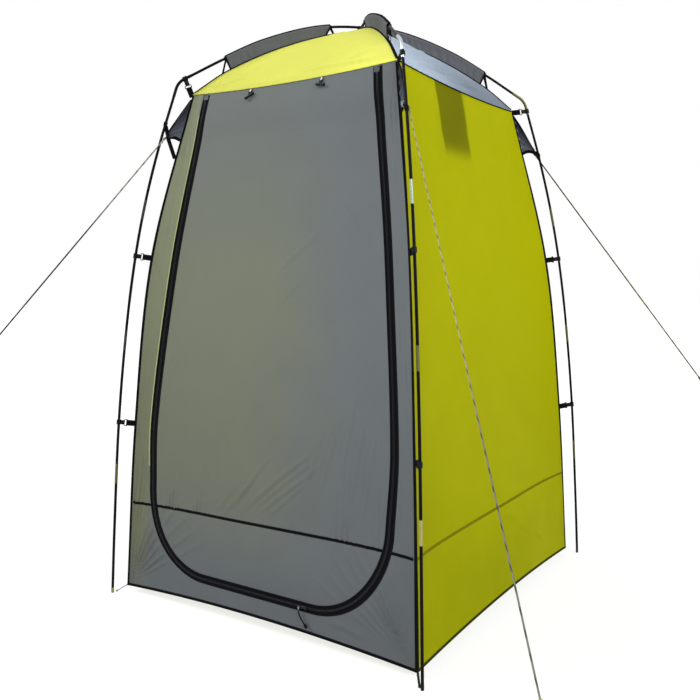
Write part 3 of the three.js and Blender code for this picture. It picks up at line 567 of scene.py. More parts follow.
def slow_swell(depth, phase):
    """The slight ease of a large panel between its seams."""

    def field(x, z):
        inside = (1 - (np.abs(x) / wall_half(z)) ** 4) * ease(z, 0.05, 0.25) * (1 - ease(z, 1.6, 1.77))
        waves = np.sin(6.1 * x + 2.3 * z + phase) + 0.7 * np.sin(4.7 * z - 5.2 * x + 2 * phase)
        waves = waves + 0.4 * np.sin(13 * x + 7 * z + 3 * phase)
        return depth * inside * waves

    return field


CREASES = {
    "front": [
        slow_swell(0.0018, 0.4),
        fan_of_pulls(-0.592, 0.030, 26, 87, 8, 0.50, 0.0066, 0.6),
        fan_of_pulls(0.590, 0.032, 98, 156, 9, 0.50, 0.0058, 2.1),
        fan_of_pulls(-0.424, 1.765, -104, -78, 4, 0.55, 0.0034, 1.0),
        fan_of_pulls(0.424, 1.765, -100, -76, 3, 0.60, 0.0034, 0.2),
        long_fold(-0.100, 0.350, 0.215, 0.605, 0.0085, 0.0034),
        long_fold(-0.060, 0.355, 0.235, 0.590, 0.0065, 0.0022),
        long_fold(-0.020, 0.355, 0.245, 0.565, 0.0070, 0.0028),
        long_fold(-0.140, 0.345, 0.040, 0.575, 0.0075, 0.0026),
        long_fold(0.030, 0.360, 0.205, 0.520, 0.0070, 0.0022),
        long_fold(-0.165, 0.340, -0.035, 0.470, 0.0070, 0.0022),
        long_fold(-0.200, 0.340, -0.100, 0.455, 0.0065, 0.0018),
        long_fold(-0.010, 1.120, 0.190, 1.300, 0.010, 0.0014),
        long_fold(0.010, 1.020, 0.120, 1.140, 0.009, 0.0012),
        long_fold(0.240, 1.420, 0.385, 1.180, 0.012, 0.0018),
        long_fold(0.300, 1.460, 0.400, 1.290, 0.010, 0.0014),
        long_fold(0.500, 1.020, 0.574, 0.760, 0.007, 0.0022),
        long_fold(0.512, 0.930, 0.568, 0.680, 0.006, 0.0020),
        long_fold(0.528, 0.700, 0.586, 0.520, 0.007, 0.0022),
        long_fold(0.540, 0.790, 0.580, 0.600, 0.006, 0.0016),
        long_fold(-0.400, 1.740, -0.404, 1.560, 0.006, 0.0018),
        long_fold(-0.505, 1.180, -0.455, 1.030, 0.007, 0.0020),
        long_fold(-0.560, 0.600, -0.520, 0.440, 0.007, 0.0020),
        long_fold(0.270, 0.096, 0.455, 0.080, 0.010, 0.0022),
        long_fold(0.240, 0.700, 0.150, 0.400, 0.0070, 0.0026),
        long_fold(0.300, 0.760, 0.215, 0.395, 0.0065, 0.0028),
        long_fold(0.345, 0.820, 0.290, 0.400, 0.0070, 0.0024),
        long_fold(0.385, 0.740, 0.335, 0.390, 0.0060, 0.0026),
        long_fold(0.425, 0.680, 0.385, 0.385, 0.0060, 0.0022),
        long_fold(-0.575, 0.140, -0.545, 0.620, 0.0060, 0.0046),
        long_fold(-0.560, 0.200, -0.520, 0.560, 0.0055, 0.0042),
        long_fold(0.505, 0.640, 0.525, 0.400, 0.0060, 0.0040),
        seam_puckers(-0.49, -0.12, 0.017, 0.0026, 0.085, True, 0.3, True),
        seam_puckers(0.26, 0.50, 0.022, 0.0026, 0.130, True, 1.7, True),
        seam_puckers(-0.58, -0.20, 0.019, 0.0015, 0.060, False, 0.9, True),
        seam_puckers(0.10, 0.52, 0.026, 0.0011, 0.060, False, 2.2, True),
        arm_streaks(-1, True, 0.017, 0.0019, 0.42, 0.95, 0.055, 0.5),
        arm_streaks(1, True, 0.021, 0.0018, 0.40, 0.80, 0.060, 1.9),
        arm_streaks(1, False, 0.020, 0.0020, 0.55, 1.72, 0.050, 0.8),
        arm_streaks(-1, False, 0.024, 0.0018, 0.45, 1.70, 0.050, 2.7),
    ],
    "right": [
        slow_swell(0.0022, 1.3),
        fan_of_pulls(-0.590, 0.032, 10, 82, 6, 0.30, 0.0018, 1.2),
        fan_of_pulls(0.590, 0.032, 98, 165, 6, 0.34, 0.0020, 0.2),
        fan_of_pulls(0.424, 1.765, -118, -84, 4, 0.50, 0.0016, 1.9),
        fan_of_pulls(-0.424, 1.765, -96, -66, 4, 0.50, 0.0014, 2.9),
        long_fold(-0.030, 0.345, 0.270, 0.180, 0.014, 0.0030),
        long_fold(0.240, 0.200, 0.380, 0.120, 0.010, 0.0020),
        long_fold(0.425, 0.305, 0.475, 0.105, 0.010, 0.0018),
        seam_puckers(-0.55, 0.55, 0.034, 0.0009, 0.060, True, 0.3),
        seam_puckers(-0.55, 0.55, 0.038, 0.0009, 0.050, False, 1.3),
    ],
    "back": [
        slow_swell(0.0013, 2.6),
        fan_of_pulls(-0.590, 0.032, 8, 84, 7, 0.34, 0.0028, 0.2),
        fan_of_pulls(0.590, 0.032, 96, 170, 7, 0.34, 0.0028, 1.4),
        fan_of_pulls(0.424, 1.765, -120, -84, 4, 0.55, 0.0018, 0.7),
        fan_of_pulls(-0.424, 1.765, -96, -62, 4, 0.50, 0.0018, 2.2),
        long_fold(-0.250, 0.345, 0.060, 0.620, 0.013, 0.0024),
        long_fold(0.080, 0.345, 0.330, 0.600, 0.011, 0.0018),
        long_fold(-0.180, 1.420, 0.120, 1.160, 0.013, 0.0018),
        seam_puckers(-0.55, 0.55, 0.030, 0.0014, 0.070, True, 2.3),
        seam_puckers(-0.55, 0.55, 0.034, 0.0011, 0.060, False, 0.4),
    ],
    "left": [
        slow_swell(0.0014, 4.0),
        fan_of_pulls(-0.590, 0.032, 10, 84, 6, 0.32, 0.0020, 2.0),
        fan_of_pulls(0.590, 0.032, 98, 168, 6, 0.32, 0.0020, 3.2),
        fan_of_pulls(0.424, 1.765, -118, -84, 4, 0.50, 0.0016, 0.1),
        fan_of_pulls(-0.424, 1.765, -96, -66, 4, 0.50, 0.0016, 1.1),
        long_fold(-0.100, 0.345, 0.170, 0.160, 0.014, 0.0024),
        seam_puckers(-0.55, 0.55, 0.033, 0.0010, 0.060, True, 1.1),
        seam_puckers(-0.55, 0.55, 0.037, 0.0009, 0.050, False, 2.6),
    ],
}


def zip_distance(x, z):
    """About how far a place on the front wall is from the zip."""
    x = np.abs(x)
    wide, deep = CORNER_HALF - SILL_HALF, DOOR_CORNER_HEIGHT - SILL_HEIGHT
    u, v = np.maximum(x - SILL_HALF, 0) / wide, np.maximum(DOOR_CORNER_HEIGHT - z, 0) / deep
    size = np.hypot(u, v)
    bend = np.abs(size - 1) * size / np.maximum(np.hypot(u / wide, v / deep), 1e-6)
    return np.where(z >= DOOR_CORNER_HEIGHT, np.abs(x - door_half(z)), bend)


def wall_sag(side, x, z):
    """How far a wall lies behind its bowed corner seams: pulled straight between hem and eave."""
    half = wall_half(z)
    straight = HEM_HALF + (EAVE_HALF - HEM_HALF) * (z - HEM_HEIGHT) / (EAVE_HEIGHT - HEM_HEIGHT)
    across = np.clip(x / half, -1, 1)
    free = 1 - np.abs(across) ** 5
    lean = 0.22 * across if side == "front" else 0.0
    ends = ease(z, 0.14, 0.38) * (1 - ease(z, 1.60, 1.735))
    return (half - straight) * (1.02 + lean) * free * ends


def wall_surface(side):
    """The creased face of a wall: a rule of (across, height, lift) that gives points of the tent."""
    depth = bpy.context.scene.tent_cloth.crease_depth

    def surface(x, z, lift):
        x, z, lift = np.broadcast_arrays(*(np.asarray(v, float) for v in (x, z, lift)))
        step = 0.001
        slope = (wall_half(z + step) - wall_half(z - step)) / (2 * step)
        tilt = 1 / np.sqrt(1 + slope ** 2)
        held = (1 - ease(np.abs(x) / wall_half(z), 0.97, 1.0)) * (1 - ease(z, 1.735, 1.762))
        if side == "front":
            held = held * (0.12 + 0.88 * ease(zip_distance(x, z), ZIP_TAPE_WIDTH - 0.002, 0.040))
        proud = lift + depth * held * sum(crease(x, z) for crease in CREASES[side])
        out = wall_half(z) - wall_sag(side, x, z) + proud * tilt
        return turn_z(np.stack([x, -out, z - proud * slope * tilt], axis=-1), SIDE_TURNS[side])

    return surface


def band_on(surface, x, z, offsets, lifts, spread=1.0):
    """A sewn band on a cloth face. Offsets lie across the line (x, z), to the left of its direction, and
    lifts stand proud of the cloth. Both lists run once round the band's section. Spread widens it."""
    x, z = np.asarray(x, float), np.asarray(z, float)
    dx, dz = np.gradient(x), np.gradient(z)
    length = np.maximum(np.hypot(dx, dz), 1e-9)
    offsets, lifts = np.asarray(offsets, float), np.asarray(lifts, float)
    wide = offsets * np.broadcast_to(spread, x.shape)[:, None]
    px = x[:, None] - (dz / length)[:, None] * wide
    pz = z[:, None] + (dx / length)[:, None] * wide
    rings = surface(px, pz, np.broadcast_to(lifts, px.shape))
    run = np.concatenate([[0], np.cumsum(np.hypot(np.diff(x), np.diff(z)))])
    middle = (offsets.max() + offsets.min()) / 2
    side = (offsets - middle) / ((offsets.max() - offsets.min()) / 2)
    return rings_body(rings, run, side)


def band_section(width, rise):
    """Section of a plain sewn tape: (offsets, lifts)."""
    w, sunk = width / 2, 0.0012
    offsets = np.array([-w, -w, -w * 0.86, 0, w * 0.86, w, w, 0])
    lifts = np.array([-sunk, rise * 0.6, rise, rise * 1.05, rise, rise * 0.6, -sunk, -sunk])
    return offsets, lifts


# Materials

class Shader:
    """Builds the nodes of a material or of the world step by step."""

    def __init__(self, owner, output="ShaderNodeOutputMaterial"):
        self.owner = owner
        owner.use_nodes = True
        self.tree = owner.node_tree
        self.tree.nodes.clear()
        self.output = self.add(output)

    def add(self, kind, inputs=None, **values):
        node = self.tree.nodes.new(kind)
        for name, value in values.items():
            setattr(node, name, value)
        for name, value in (inputs or {}).items():
            self.put(node.inputs[name], value)
        return node

    def put(self, socket, value):
        if isinstance(value, bpy.types.NodeSocket):
            self.tree.links.new(value, socket)
        elif isinstance(value, (tuple, list)) and len(value) == 3 and socket.type == "RGBA":
            socket.default_value = (*value, 1)
        else:
            socket.default_value = value

    def math(self, operation, first, second=0.0, third=0.0):
        return self.add("ShaderNodeMath", {0: first, 1: second, 2: third}, operation=operation).outputs[0]

    def times(self, first, second):
        return self.math("MULTIPLY", first, second)

    def scaled(self, value, factor, offset):
        return self.math("MULTIPLY_ADD", value, factor, offset)

    def wave(self, value, pitch):
        return self.math("SINE", self.times(value, 2 * math.pi / pitch))

    def mix(self, share, first, second, blend="MIX"):
        node = self.add("ShaderNodeMix", data_type="RGBA", blend_type=blend)
        self.put(node.inputs["Factor"], share)
        self.put(node.inputs["A"], first)
        self.put(node.inputs["B"], second)
        return node.outputs["Result"]

    def ramp(self, value, low, high, to_low=0.0, to_high=1.0):
        node = self.add("ShaderNodeMapRange", {"Value": value, "From Min": low, "From Max": high,
                                               "To Min": to_low, "To Max": to_high},
                        interpolation_type="SMOOTHSTEP")
        return node.outputs["Result"]

    def mix_shaders(self, share, first, second):
        return self.add("ShaderNodeMixShader", {0: share, 1: first, 2: second}).outputs[0]

    def seen_directly(self):
        """1 for what the camera sees, also in a mirror or through glass; 0 for light on its way."""
        rays = self.add("ShaderNodeLightPath").outputs
        direct = self.math("MAXIMUM", rays["Is Camera Ray"], rays["Is Glossy Ray"])
        return self.math("MAXIMUM", direct, rays["Is Transmission Ray"])

    def place(self):
        """Where a point of the surface lies, in metres."""
        return self.add("ShaderNodeTexCoord").outputs["Object"]

    def parts(self, vector):
        measures = self.add("ShaderNodeSeparateXYZ", {"Vector": vector}).outputs
        return measures["X"], measures["Y"], measures["Z"]

    def noise(self, vector, scale, detail, roughness=0.5, distortion=0.0):
        node = self.add("ShaderNodeTexNoise", {"Vector": vector, "Scale": scale, "Detail": detail,
                                               "Roughness": roughness, "Distortion": distortion})
        return node.outputs["Fac"]

    def measure(self, name):
        return self.add("ShaderNodeAttribute", attribute_name=name).outputs["Fac"]

    def bump(self, height, distance, strength, normal=None):
        inputs = {"Height": height, "Distance": distance, "Strength": strength}
        if normal is not None:
            inputs["Normal"] = normal
        return self.add("ShaderNodeBump", inputs).outputs["Normal"]

    def finish(self, shader):
        self.tree.links.new(shader, self.output.inputs["Surface"])
        return self.owner


def new_shader(name):
    return Shader(bpy.data.materials.new(name))


def toned(values, factor):
    """A colour made darker by a factor."""
    return tuple(value * factor for value in values)


STITCH_PITCH = 0.0042


def weave(shader, across, up, pitch):
    """Height of a plain weave with the given thread pitch."""
    return shader.times(shader.wave(across, pitch), shader.wave(up, pitch))


def cloth_material(name, base, second, split, through, shade=None):
    """Coated polyester cloth: woven, faintly crumpled, thin enough to let light through. Split mixes in the
    second colour, which is a painted glow on the slate cloth and painted shade on the visor, gore and gusset
    cloths; shade multiplies painted shade and painted light into the colour.
    """
    shader = new_shader(name)
    place = shader.place()
    x, y, z = shader.parts(place)
    across = shader.math("ADD", x, y)
    cloudy = shader.noise(place, 2.6, 3.0, 0.55, 0.4)
    threads = shader.noise(place, 900.0, 2.0, 0.6)
    mottle_and_shade = shader.scaled(shader.noise(place, 7.0, 4.0, 0.6, 0.3), 0.10, 0.95)
    mottle_and_shade = shader.times(mottle_and_shade, shader.scaled(threads, 0.08, 0.96))
    if shade:
        mottle_and_shade = shader.times(mottle_and_shade, shade(shader, x, y, z))
    grey = shader.add("ShaderNodeCombineColor", {"Red": mottle_and_shade, "Green": mottle_and_shade, "Blue": mottle_and_shade})
    dye_and_painted_light = shader.mix(split(shader, x, y, z, cloudy), tuple(base), tuple(second))
    tone = shader.mix(1.0, dye_and_painted_light, grey.outputs["Color"], "MULTIPLY")
    crumple = shader.noise(place, 16.0, 4.0, 0.55, 1.2)
    normal = shader.bump(crumple, 0.0035, 0.35)
    pitch = bpy.context.scene.tent_cloth.thread_pitch
    normal = shader.bump(weave(shader, across, z, pitch), 0.00012, 0.5, normal)
    coat = shader.add("ShaderNodeBsdfPrincipled", {
        "Base Color": tone, "Normal": normal, "Specular IOR Level": 0.04,
        "Roughness": shader.scaled(cloudy, 0.18, 0.53),
    })
    back = shader.add("ShaderNodeBsdfTranslucent", {"Color": tone, "Normal": normal})
    return shader.finish(shader.mix_shaders(through, coat.outputs[0], back.outputs[0]))


def tape_material(name, base, stitch, stitch_side=0.72, ribs=0.0016, roughness=0.72):
    """Woven tape or webbing with a row of stitches near each edge."""
    shader = new_shader(name)
    place = shader.place()
    run, side = shader.measure("run"), shader.measure("side")
    rib = shader.wave(run, ribs)
    twill = shader.math("SINE", shader.scaled(side, 26.0, shader.times(run, 900.0)))
    dash = shader.wave(run, STITCH_PITCH)
    dash = shader.ramp(dash, -0.35, -0.1)
    edge = shader.math("ABSOLUTE", shader.math("SUBTRACT", shader.math("ABSOLUTE", side), stitch_side))
    thread = shader.times(dash, shader.ramp(edge, 0.045, 0.09, 1.0, 0.0))
    wear = shader.noise(place, 30.0, 4.0, 0.6)
    worn = shader.times(shader.ramp(shader.math("ABSOLUTE", side), 0.8, 1.0), wear)
    dusty = tuple(min(1.0, c * 1.8 + 0.004) for c in base)
    tone = shader.mix(shader.times(worn, 0.6), tuple(base), dusty)
    tone = shader.mix(shader.times(thread, 0.8), tone, stitch)
    height = shader.math("ADD", shader.times(rib, 0.4), shader.times(twill, 0.4))
    height = shader.math("ADD", height, shader.times(thread, 1.4))
    normal = shader.bump(height, 0.00022, 0.3)
    cover = shader.add("ShaderNodeBsdfPrincipled", {
        "Base Color": tone, "Normal": normal, "Specular IOR Level": 0.02,
        "Roughness": shader.scaled(wear, 0.15, roughness),
    })
    return shader.finish(cover.outputs[0])


def smooth_material(name, base, roughness, metallic=0.0, grain=60.0, shine=0.5):
    """Metal, plastic or coated rod with fine scratches along it and slight soiling."""
    shader = new_shader(name)
    place = shader.place()
    run, side = shader.measure("run"), shader.measure("side")
    lines = shader.add("ShaderNodeCombineXYZ", {
        "X": shader.times(run, 3.0), "Y": shader.times(side, 40.0)}).outputs[0]
    drawn = shader.noise(lines, 6.0, 4.0, 0.7)
    soiled = shader.noise(place, grain, 4.0, 0.6)
    scratch = 0.25
    dull = tuple(c * (0.72 if metallic else 1.5) + (0.0 if metallic else 0.002) for c in base)
    tone = shader.mix(shader.ramp(soiled, 0.48, 0.75, 0.0, 0.55), tuple(base), dull)
    rough = shader.scaled(drawn, scratch, roughness - scratch / 2)
    rough = shader.math("ADD", rough, shader.ramp(soiled, 0.5, 0.8, 0.0, 0.12))
    normal = shader.bump(drawn, 0.00006, 0.5)
    body = shader.add("ShaderNodeBsdfPrincipled", {
        "Base Color": tone, "Metallic": metallic, "Roughness": rough, "Normal": normal,
        "Specular IOR Level": shine,
    })
    return shader.finish(body.outputs[0])


def cord_material(name, base, fleck, pitch, share, later=None):
    """Braided cord with slanted flecks; later is (base, fleck, run where it begins, run where it is full)."""
    shader = new_shader(name)
    place = shader.place()
    run, side = shader.measure("run"), shader.measure("side")
    slant = shader.scaled(side, math.pi, shader.times(run, 2 * math.pi / pitch))
    counter = shader.scaled(side, -math.pi, shader.times(run, 2 * math.pi / pitch))
    braid = shader.times(shader.math("SINE", shader.times(slant, 4.0)),
                        shader.math("SINE", shader.times(counter, 4.0)))
    flecked = shader.ramp(shader.math("SINE", slant), share, share + 0.25)
    if later is not None:
        turned = shader.ramp(run, later[2], later[3])
        base, fleck = shader.mix(turned, base, later[0]), shader.mix(turned, fleck, later[1])
    tone = shader.mix(flecked, base, fleck)
    tone = shader.mix(shader.times(shader.noise(place, 240.0, 3.0), 0.3), tone, fleck)
    cover = shader.add("ShaderNodeBsdfPrincipled", {
        "Base Color": tone, "Roughness": 0.85, "Specular IOR Level": 0.05,
        "Normal": shader.bump(braid, 0.0003, 0.5)})
    return shader.finish(cover.outputs[0])


def drifted(shader, cloudy, amount, place):
    """A place moved a little by the cloudy noise, so that a change of colour has no straight edge."""
    return shader.scaled(shader.math("SUBTRACT", cloudy, 0.5), amount, place)


def left_strip(shader, x, y, z, soft):
    """1 on the front wall left of the zip, 0 elsewhere."""
    leaned = shader.scaled(z, -0.085, x)
    beside = shader.ramp(leaned, -0.52 - soft, -0.52 + soft, 1.0, 0.0)
    return shader.times(beside, shader.ramp(y, -0.30, -0.10, 1.0, 0.0))


def slate_shade(shader, x, y, z):
    """Painted shade, darker towards the foot, where less light passes through the tent; the left strip stays
    lighter with painted light.
    """
    panel = shader.ramp(z, -0.15, 1.25, 0.70, 1.0)
    climb = shader.ramp(z, -0.05, 1.65, 0.66, 1.22)
    strip = shader.times(left_strip(shader, x, y, z, 0.02), climb)
    return shader.math("MAXIMUM", panel, strip)


def lime_shade(shader, x, y, z):
    """Painted shade, darker where the inner pocket hangs behind the right wall and keeps light from passing
    through it.
    """
    drift = shader.math("SUBTRACT", y, shader.ramp(z, 1.53, 1.75, 0.047, 0.0))
    front, back = shader.ramp(drift, -0.215, -0.198), shader.ramp(drift, -0.030, 0.004, 1.0, 0.0)
    wide = shader.times(front, back)
    tall = shader.ramp(z, 1.50, 1.60)
    behind = shader.times(shader.times(wide, tall), shader.ramp(x, 0.0, 0.1))
    return shader.ramp(behind, 0.0, 1.0, 1.0, 0.46)


def even_split(shader, x, y, z, cloudy):
    return shader.ramp(cloudy, 0.35, 0.7)


def slate_split(shader, x, y, z, cloudy):
    """Painted glow of the lime walls: greener towards the left and in the middle heights, cooler at the
    right, top and foot.
    """
    left = shader.ramp(drifted(shader, cloudy, 0.30, x), -0.10, 0.40, 1.0, 0.0)
    low = shader.ramp(z, 0.08, 0.50)
    high = shader.ramp(z, 1.10, 1.72, 1.0, 0.25)
    strip = shader.times(left_strip(shader, x, y, z, 0.05), shader.ramp(z, -0.05, 0.24))
    door = shader.times(left, shader.times(low, shader.times(high, 0.72)))
    return shader.math("MAXIMUM", strip, door)


def lime_split(shader, x, y, z, cloudy):
    """Deeper towards the foot."""
    return shader.times(shader.ramp(z, 0.0, 1.3, 1.0, 0.0), shader.ramp(cloudy, 0.2, 0.8, 0.6, 1.0))


def gusset_split(shader, x, y, z, cloudy):
    """Painted shade, darker towards the top, under the eave."""
    return shader.ramp(z, 1.640, 1.725)


def yellow_split(shader, x, y, z, cloudy):
    """Painted shade, darkest at the left, plain at the right end."""
    drift = drifted(shader, cloudy, 0.2, x)
    left, right = shader.ramp(drift, -0.45, -0.05, 1.0, 0.62), shader.ramp(drift, 0.12, 0.36, 0.0, 0.62)
    return shader.math("SUBTRACT", left, right)


def gore_split(shader, x, y, z, cloudy):
    """Painted shade, darker towards the eave and the back."""
    back = shader.ramp(drifted(shader, cloudy, 0.3, y), -0.40, 0.15)
    low = shader.ramp(z, 1.80, 2.00, 1.0, 0.30)
    return shader.times(back, low)


def make_finishes():
    scene = bpy.context.scene
    cloth, rods, trim = scene.tent_cloth, scene.tent_rods, scene.tent_trim
    through = cloth.light_through
    dark = tuple(trim.webbing)
    finishes.update({
        # The slate cloth's second colour is a painted green glow, and slate_shade paints shade and light into
        # it.
        "slate": cloth_material("slate_cloth", cloth.slate, cloth.slate_glow, slate_split, 0.35 * through,
                                slate_shade),
        "lime": cloth_material("lime_cloth", cloth.lime, cloth.lime_deep, lime_split, through, lime_shade),
        "webbing": tape_material("black_webbing", dark, srgb(40, 41, 44)),
        "binding": tape_material("black_binding", dark, srgb(34, 35, 38), 0.55, 0.0012),
        "olive_tape": tape_material("olive_seam_tape", srgb(104, 104, 8), srgb(128, 128, 14), 0.6, 0.0012),
        "olive_hem": tape_material("olive_hem_tape", srgb(44, 46, 8), srgb(70, 71, 18), 0.6, 0.0012),
        "zip_tape": tape_material("zip_tape", tuple(trim.tape), srgb(38, 39, 42), 0.80, 0.0011, 0.66),
        "zip_teeth": smooth_material("zip_teeth", srgb(40, 41, 44), 0.38, grain=300.0, shine=0.12),
        "rod": smooth_material("coated_rod", tuple(rods.rod), rods.rod_roughness, shine=0.06),
        "metal": smooth_material("bright_metal", tuple(rods.metal), 0.30, 1.0),
        "pale_brass": smooth_material("pale_brass", srgb(160, 155, 98), 0.38, 1.0),
        "pale_metal": smooth_material("pale_metal", srgb(142, 156, 134), 0.40, 1.0),
        "olive_metal": smooth_material("olive_metal", srgb(92, 92, 54), 0.38, 1.0),
        "tip_metal": smooth_material("tip_metal", srgb(132, 130, 76), 0.40, 1.0),
        "dark_metal": smooth_material("dark_metal", srgb(58, 60, 62), 0.30, 1.0, shine=0.3),
        "ring_metal": smooth_material("ring_metal", srgb(40, 41, 43), 0.34, 1.0, shine=0.3),
        "slider": smooth_material("slider_metal", srgb(50, 51, 54), 0.30, 1.0, grain=700.0),
        "stop_metal": smooth_material("stop_metal", srgb(56, 60, 70), 0.50, shine=0.2),
        # The edge fold's pale colour is a painted highlight along the fold.
        "edge_fold": tape_material("edge_fold", srgb(160, 166, 112), srgb(140, 145, 98), 0.9, 0.0016),
        "plastic": smooth_material("black_plastic", tuple(trim.plastic), 0.40, grain=160.0, shine=0.10),
        "guy_fr": cord_material("guy_cord_pale", tuple(trim.guy), tuple(trim.guy_fleck), 0.040, 0.35,
                                (srgb(128, 127, 112), srgb(66, 66, 58), 0.75, 1.15)),
        "guy_fl": cord_material("guy_cord_left", srgb(150, 149, 138), srgb(96, 95, 84), 0.040, 0.4,
                                (tuple(trim.guy_dark), srgb(60, 60, 46), 0.28, 0.46)),
        "guy_br": cord_material("guy_cord_dark", tuple(trim.guy_dark), srgb(92, 92, 44), 0.050, 0.55,
                                (srgb(50, 51, 22), srgb(120, 120, 52), 0.35, 0.70)),
        "pale_tab": tape_material("pale_tab", srgb(206, 208, 206), srgb(150, 152, 150)),
        "black_cord": cord_material("black_cord", srgb(13, 13, 15), srgb(34, 35, 38), 0.006, 0.3),
        "green_cord": cord_material("green_cord", srgb(22, 52, 44), srgb(10, 20, 18), 0.006, 0.3),
        "grey_cord": cord_material("grey_cord", srgb(140, 144, 152), srgb(112, 116, 124), 0.009, 0.5),
    })
    # The second colours of the yellow, mist and gusset cloths are painted shade; those of the sleeve and
    # pocket vary at random.
    for name, darkest, split, lets_through in (
            ("yellow", 0.77, yellow_split, 0.8 * through), ("mist", 0.43, gore_split, 0.5 * through),
            ("sleeve", 0.75, even_split, 0.3 * through), ("gusset", 0.35, gusset_split, 0.2 * through),
            ("pocket", 0.8, even_split, 0.2)):
        base = getattr(cloth, name)
        finishes[name] = cloth_material(f"{name}_cloth", base, toned(base, darkest), split, lets_through)


# Stage

CAMERA_PLACE = (1.684, -2.469, 1.120)
CAMERA_TILT, CAMERA_TURN = math.radians(90 - 1.886), math.radians(31.77)
CAMERA_SENSOR, CAMERA_LENS, CAMERA_SHIFT = 36.0, 40.49, -0.0643
FLOOR_HALF, FLOOR_THICKNESS = 30.0, 0.02
BOX_FACES = ((0, 1, 2, 3), (7, 6, 5, 4), (0, 4, 5, 1), (1, 5, 6, 2), (2, 6, 7, 3), (3, 7, 4, 0))


def make_camera(scene):
    lens = bpy.data.cameras.new("camera")
    lens.sensor_width, lens.lens = CAMERA_SENSOR, CAMERA_LENS
    lens.shift_x = lens.shift_y = CAMERA_SHIFT
    eye = bpy.data.objects.new("camera", lens)
    eye.location = CAMERA_PLACE
    eye.rotation_euler = (CAMERA_TILT, 0, CAMERA_TURN)
    scene.collection.objects.link(eye)
    scene.camera = eye


def make_floor(scene, base):
    """A wide slab, pale to the camera; other rays meet its own matt colour."""
    mesh = bpy.data.meshes.new("floor")
    half = FLOOR_HALF
    rim = [(-half, -half), (half, -half), (half, half), (-half, half)]
    corners = [(x, y, z) for z in (0, -FLOOR_THICKNESS) for x, y in rim]
    mesh.from_pydata(corners, [], list(BOX_FACES))
    floor = bpy.data.objects.new("floor", mesh)
    scene.collection.objects.link(floor)
    paint = new_shader("floor")
    matt = paint.add("ShaderNodeBsdfDiffuse", {"Color": tuple(base)})
    soft = paint.add("ShaderNodeBsdfDiffuse", {"Color": (0.34, 0.34, 0.34)})
    lift = paint.add("ShaderNodeEmission", {"Color": (1.0, 1.0, 1.0), "Strength": 0.74})
    pale = paint.add("ShaderNodeAddShader", {0: soft.outputs[0], 1: lift.outputs[0]})
    both = paint.mix_shaders(paint.seen_directly(), matt.outputs[0], pale.outputs[0])
    mesh.materials.append(paint.finish(both))


def make_sky(scene, strength):
    """White to the camera, an even light to everything else."""
    scene.world = bpy.data.worlds.new("sky")
    sky = Shader(scene.world, "ShaderNodeOutputWorld")
    light = sky.add("ShaderNodeBackground", {"Color": (0.97, 0.985, 1.0), "Strength": strength})
    white = sky.add("ShaderNodeBackground", {"Color": (1.0, 1.0, 1.0), "Strength": 1.0})
    sky.finish(sky.mix_shaders(sky.seen_directly(), light.outputs[0], white.outputs[0]))


def make_lamp(scene, name, strength, spread, heading):
    """A soft sun that shines along heading; spread is its width in degrees."""
    sun = bpy.data.lights.new(name, "SUN")
    sun.energy, sun.angle = strength, math.radians(spread)
    lamp = bpy.data.objects.new(name, sun)
    lamp.rotation_euler = Vector(heading).to_track_quat("-Z", "Y").to_euler()
    scene.collection.objects.link(lamp)


class TENT_OT_stage(bpy.types.Operator):
    """Camera, floor and soft light"""

    bl_idname = "tent.stage"
    bl_label = "Stage"

    def execute(self, context):
        scene, stage = context.scene, context.scene.tent_stage
        scene.view_settings.view_transform = "Standard"
        make_finishes()
        make_camera(scene)
        make_floor(scene, stage.floor)
        make_sky(scene, stage.sky)
        make_lamp(scene, "key", stage.key, 16, (0.78, 0.52, -0.62))
        make_lamp(scene, "fill", stage.fill, 40, (-0.85, 0.30, -0.50))
        return {"FINISHED"}


# Guy lines

GUY_ENDS = {"fl": (-0.912, -0.912, 0.890), "fr": (1.208, -1.208, 0.352), "br": (1.050, 1.050, 0.670)}
GUY_RADII = {"fl": 0.0025, "fr": 0.0020, "br": 0.0026}
GUY_LOOP = 0.045
KNOT_CORD, PEG_CORD = 0.0013, 0.0014
RING_WIRE, GUY_RING, SMALL_GUY_RING = 0.0015, 0.010, 0.0086
# The peg loop's bow, in metres along the line and above it
PEG_BOW = ((-0.004, 0.0), (0.006, 0.0), (0.020, 0.007), (0.036, 0.007), (0.0415, 0.0),
           (0.036, -0.007), (0.020, -0.007), (0.004, -0.001))


def guy_start(corner):
    """Where a guy line leaves the side of its ring."""
    ring_side = at_corner(corner, GUSSET_TIP[0], GUY_RING, GUSSET_TIP[1])
    end = np.array(GUY_ENDS[corner])
    direction = unit(end - ring_side)
    level = math.hypot(direction[0], direction[1])
    clear = (RING_WIRE + CLEARANCE + GUY_RADII[corner] * -direction[2]) / level
    return ring_side + direction * clear


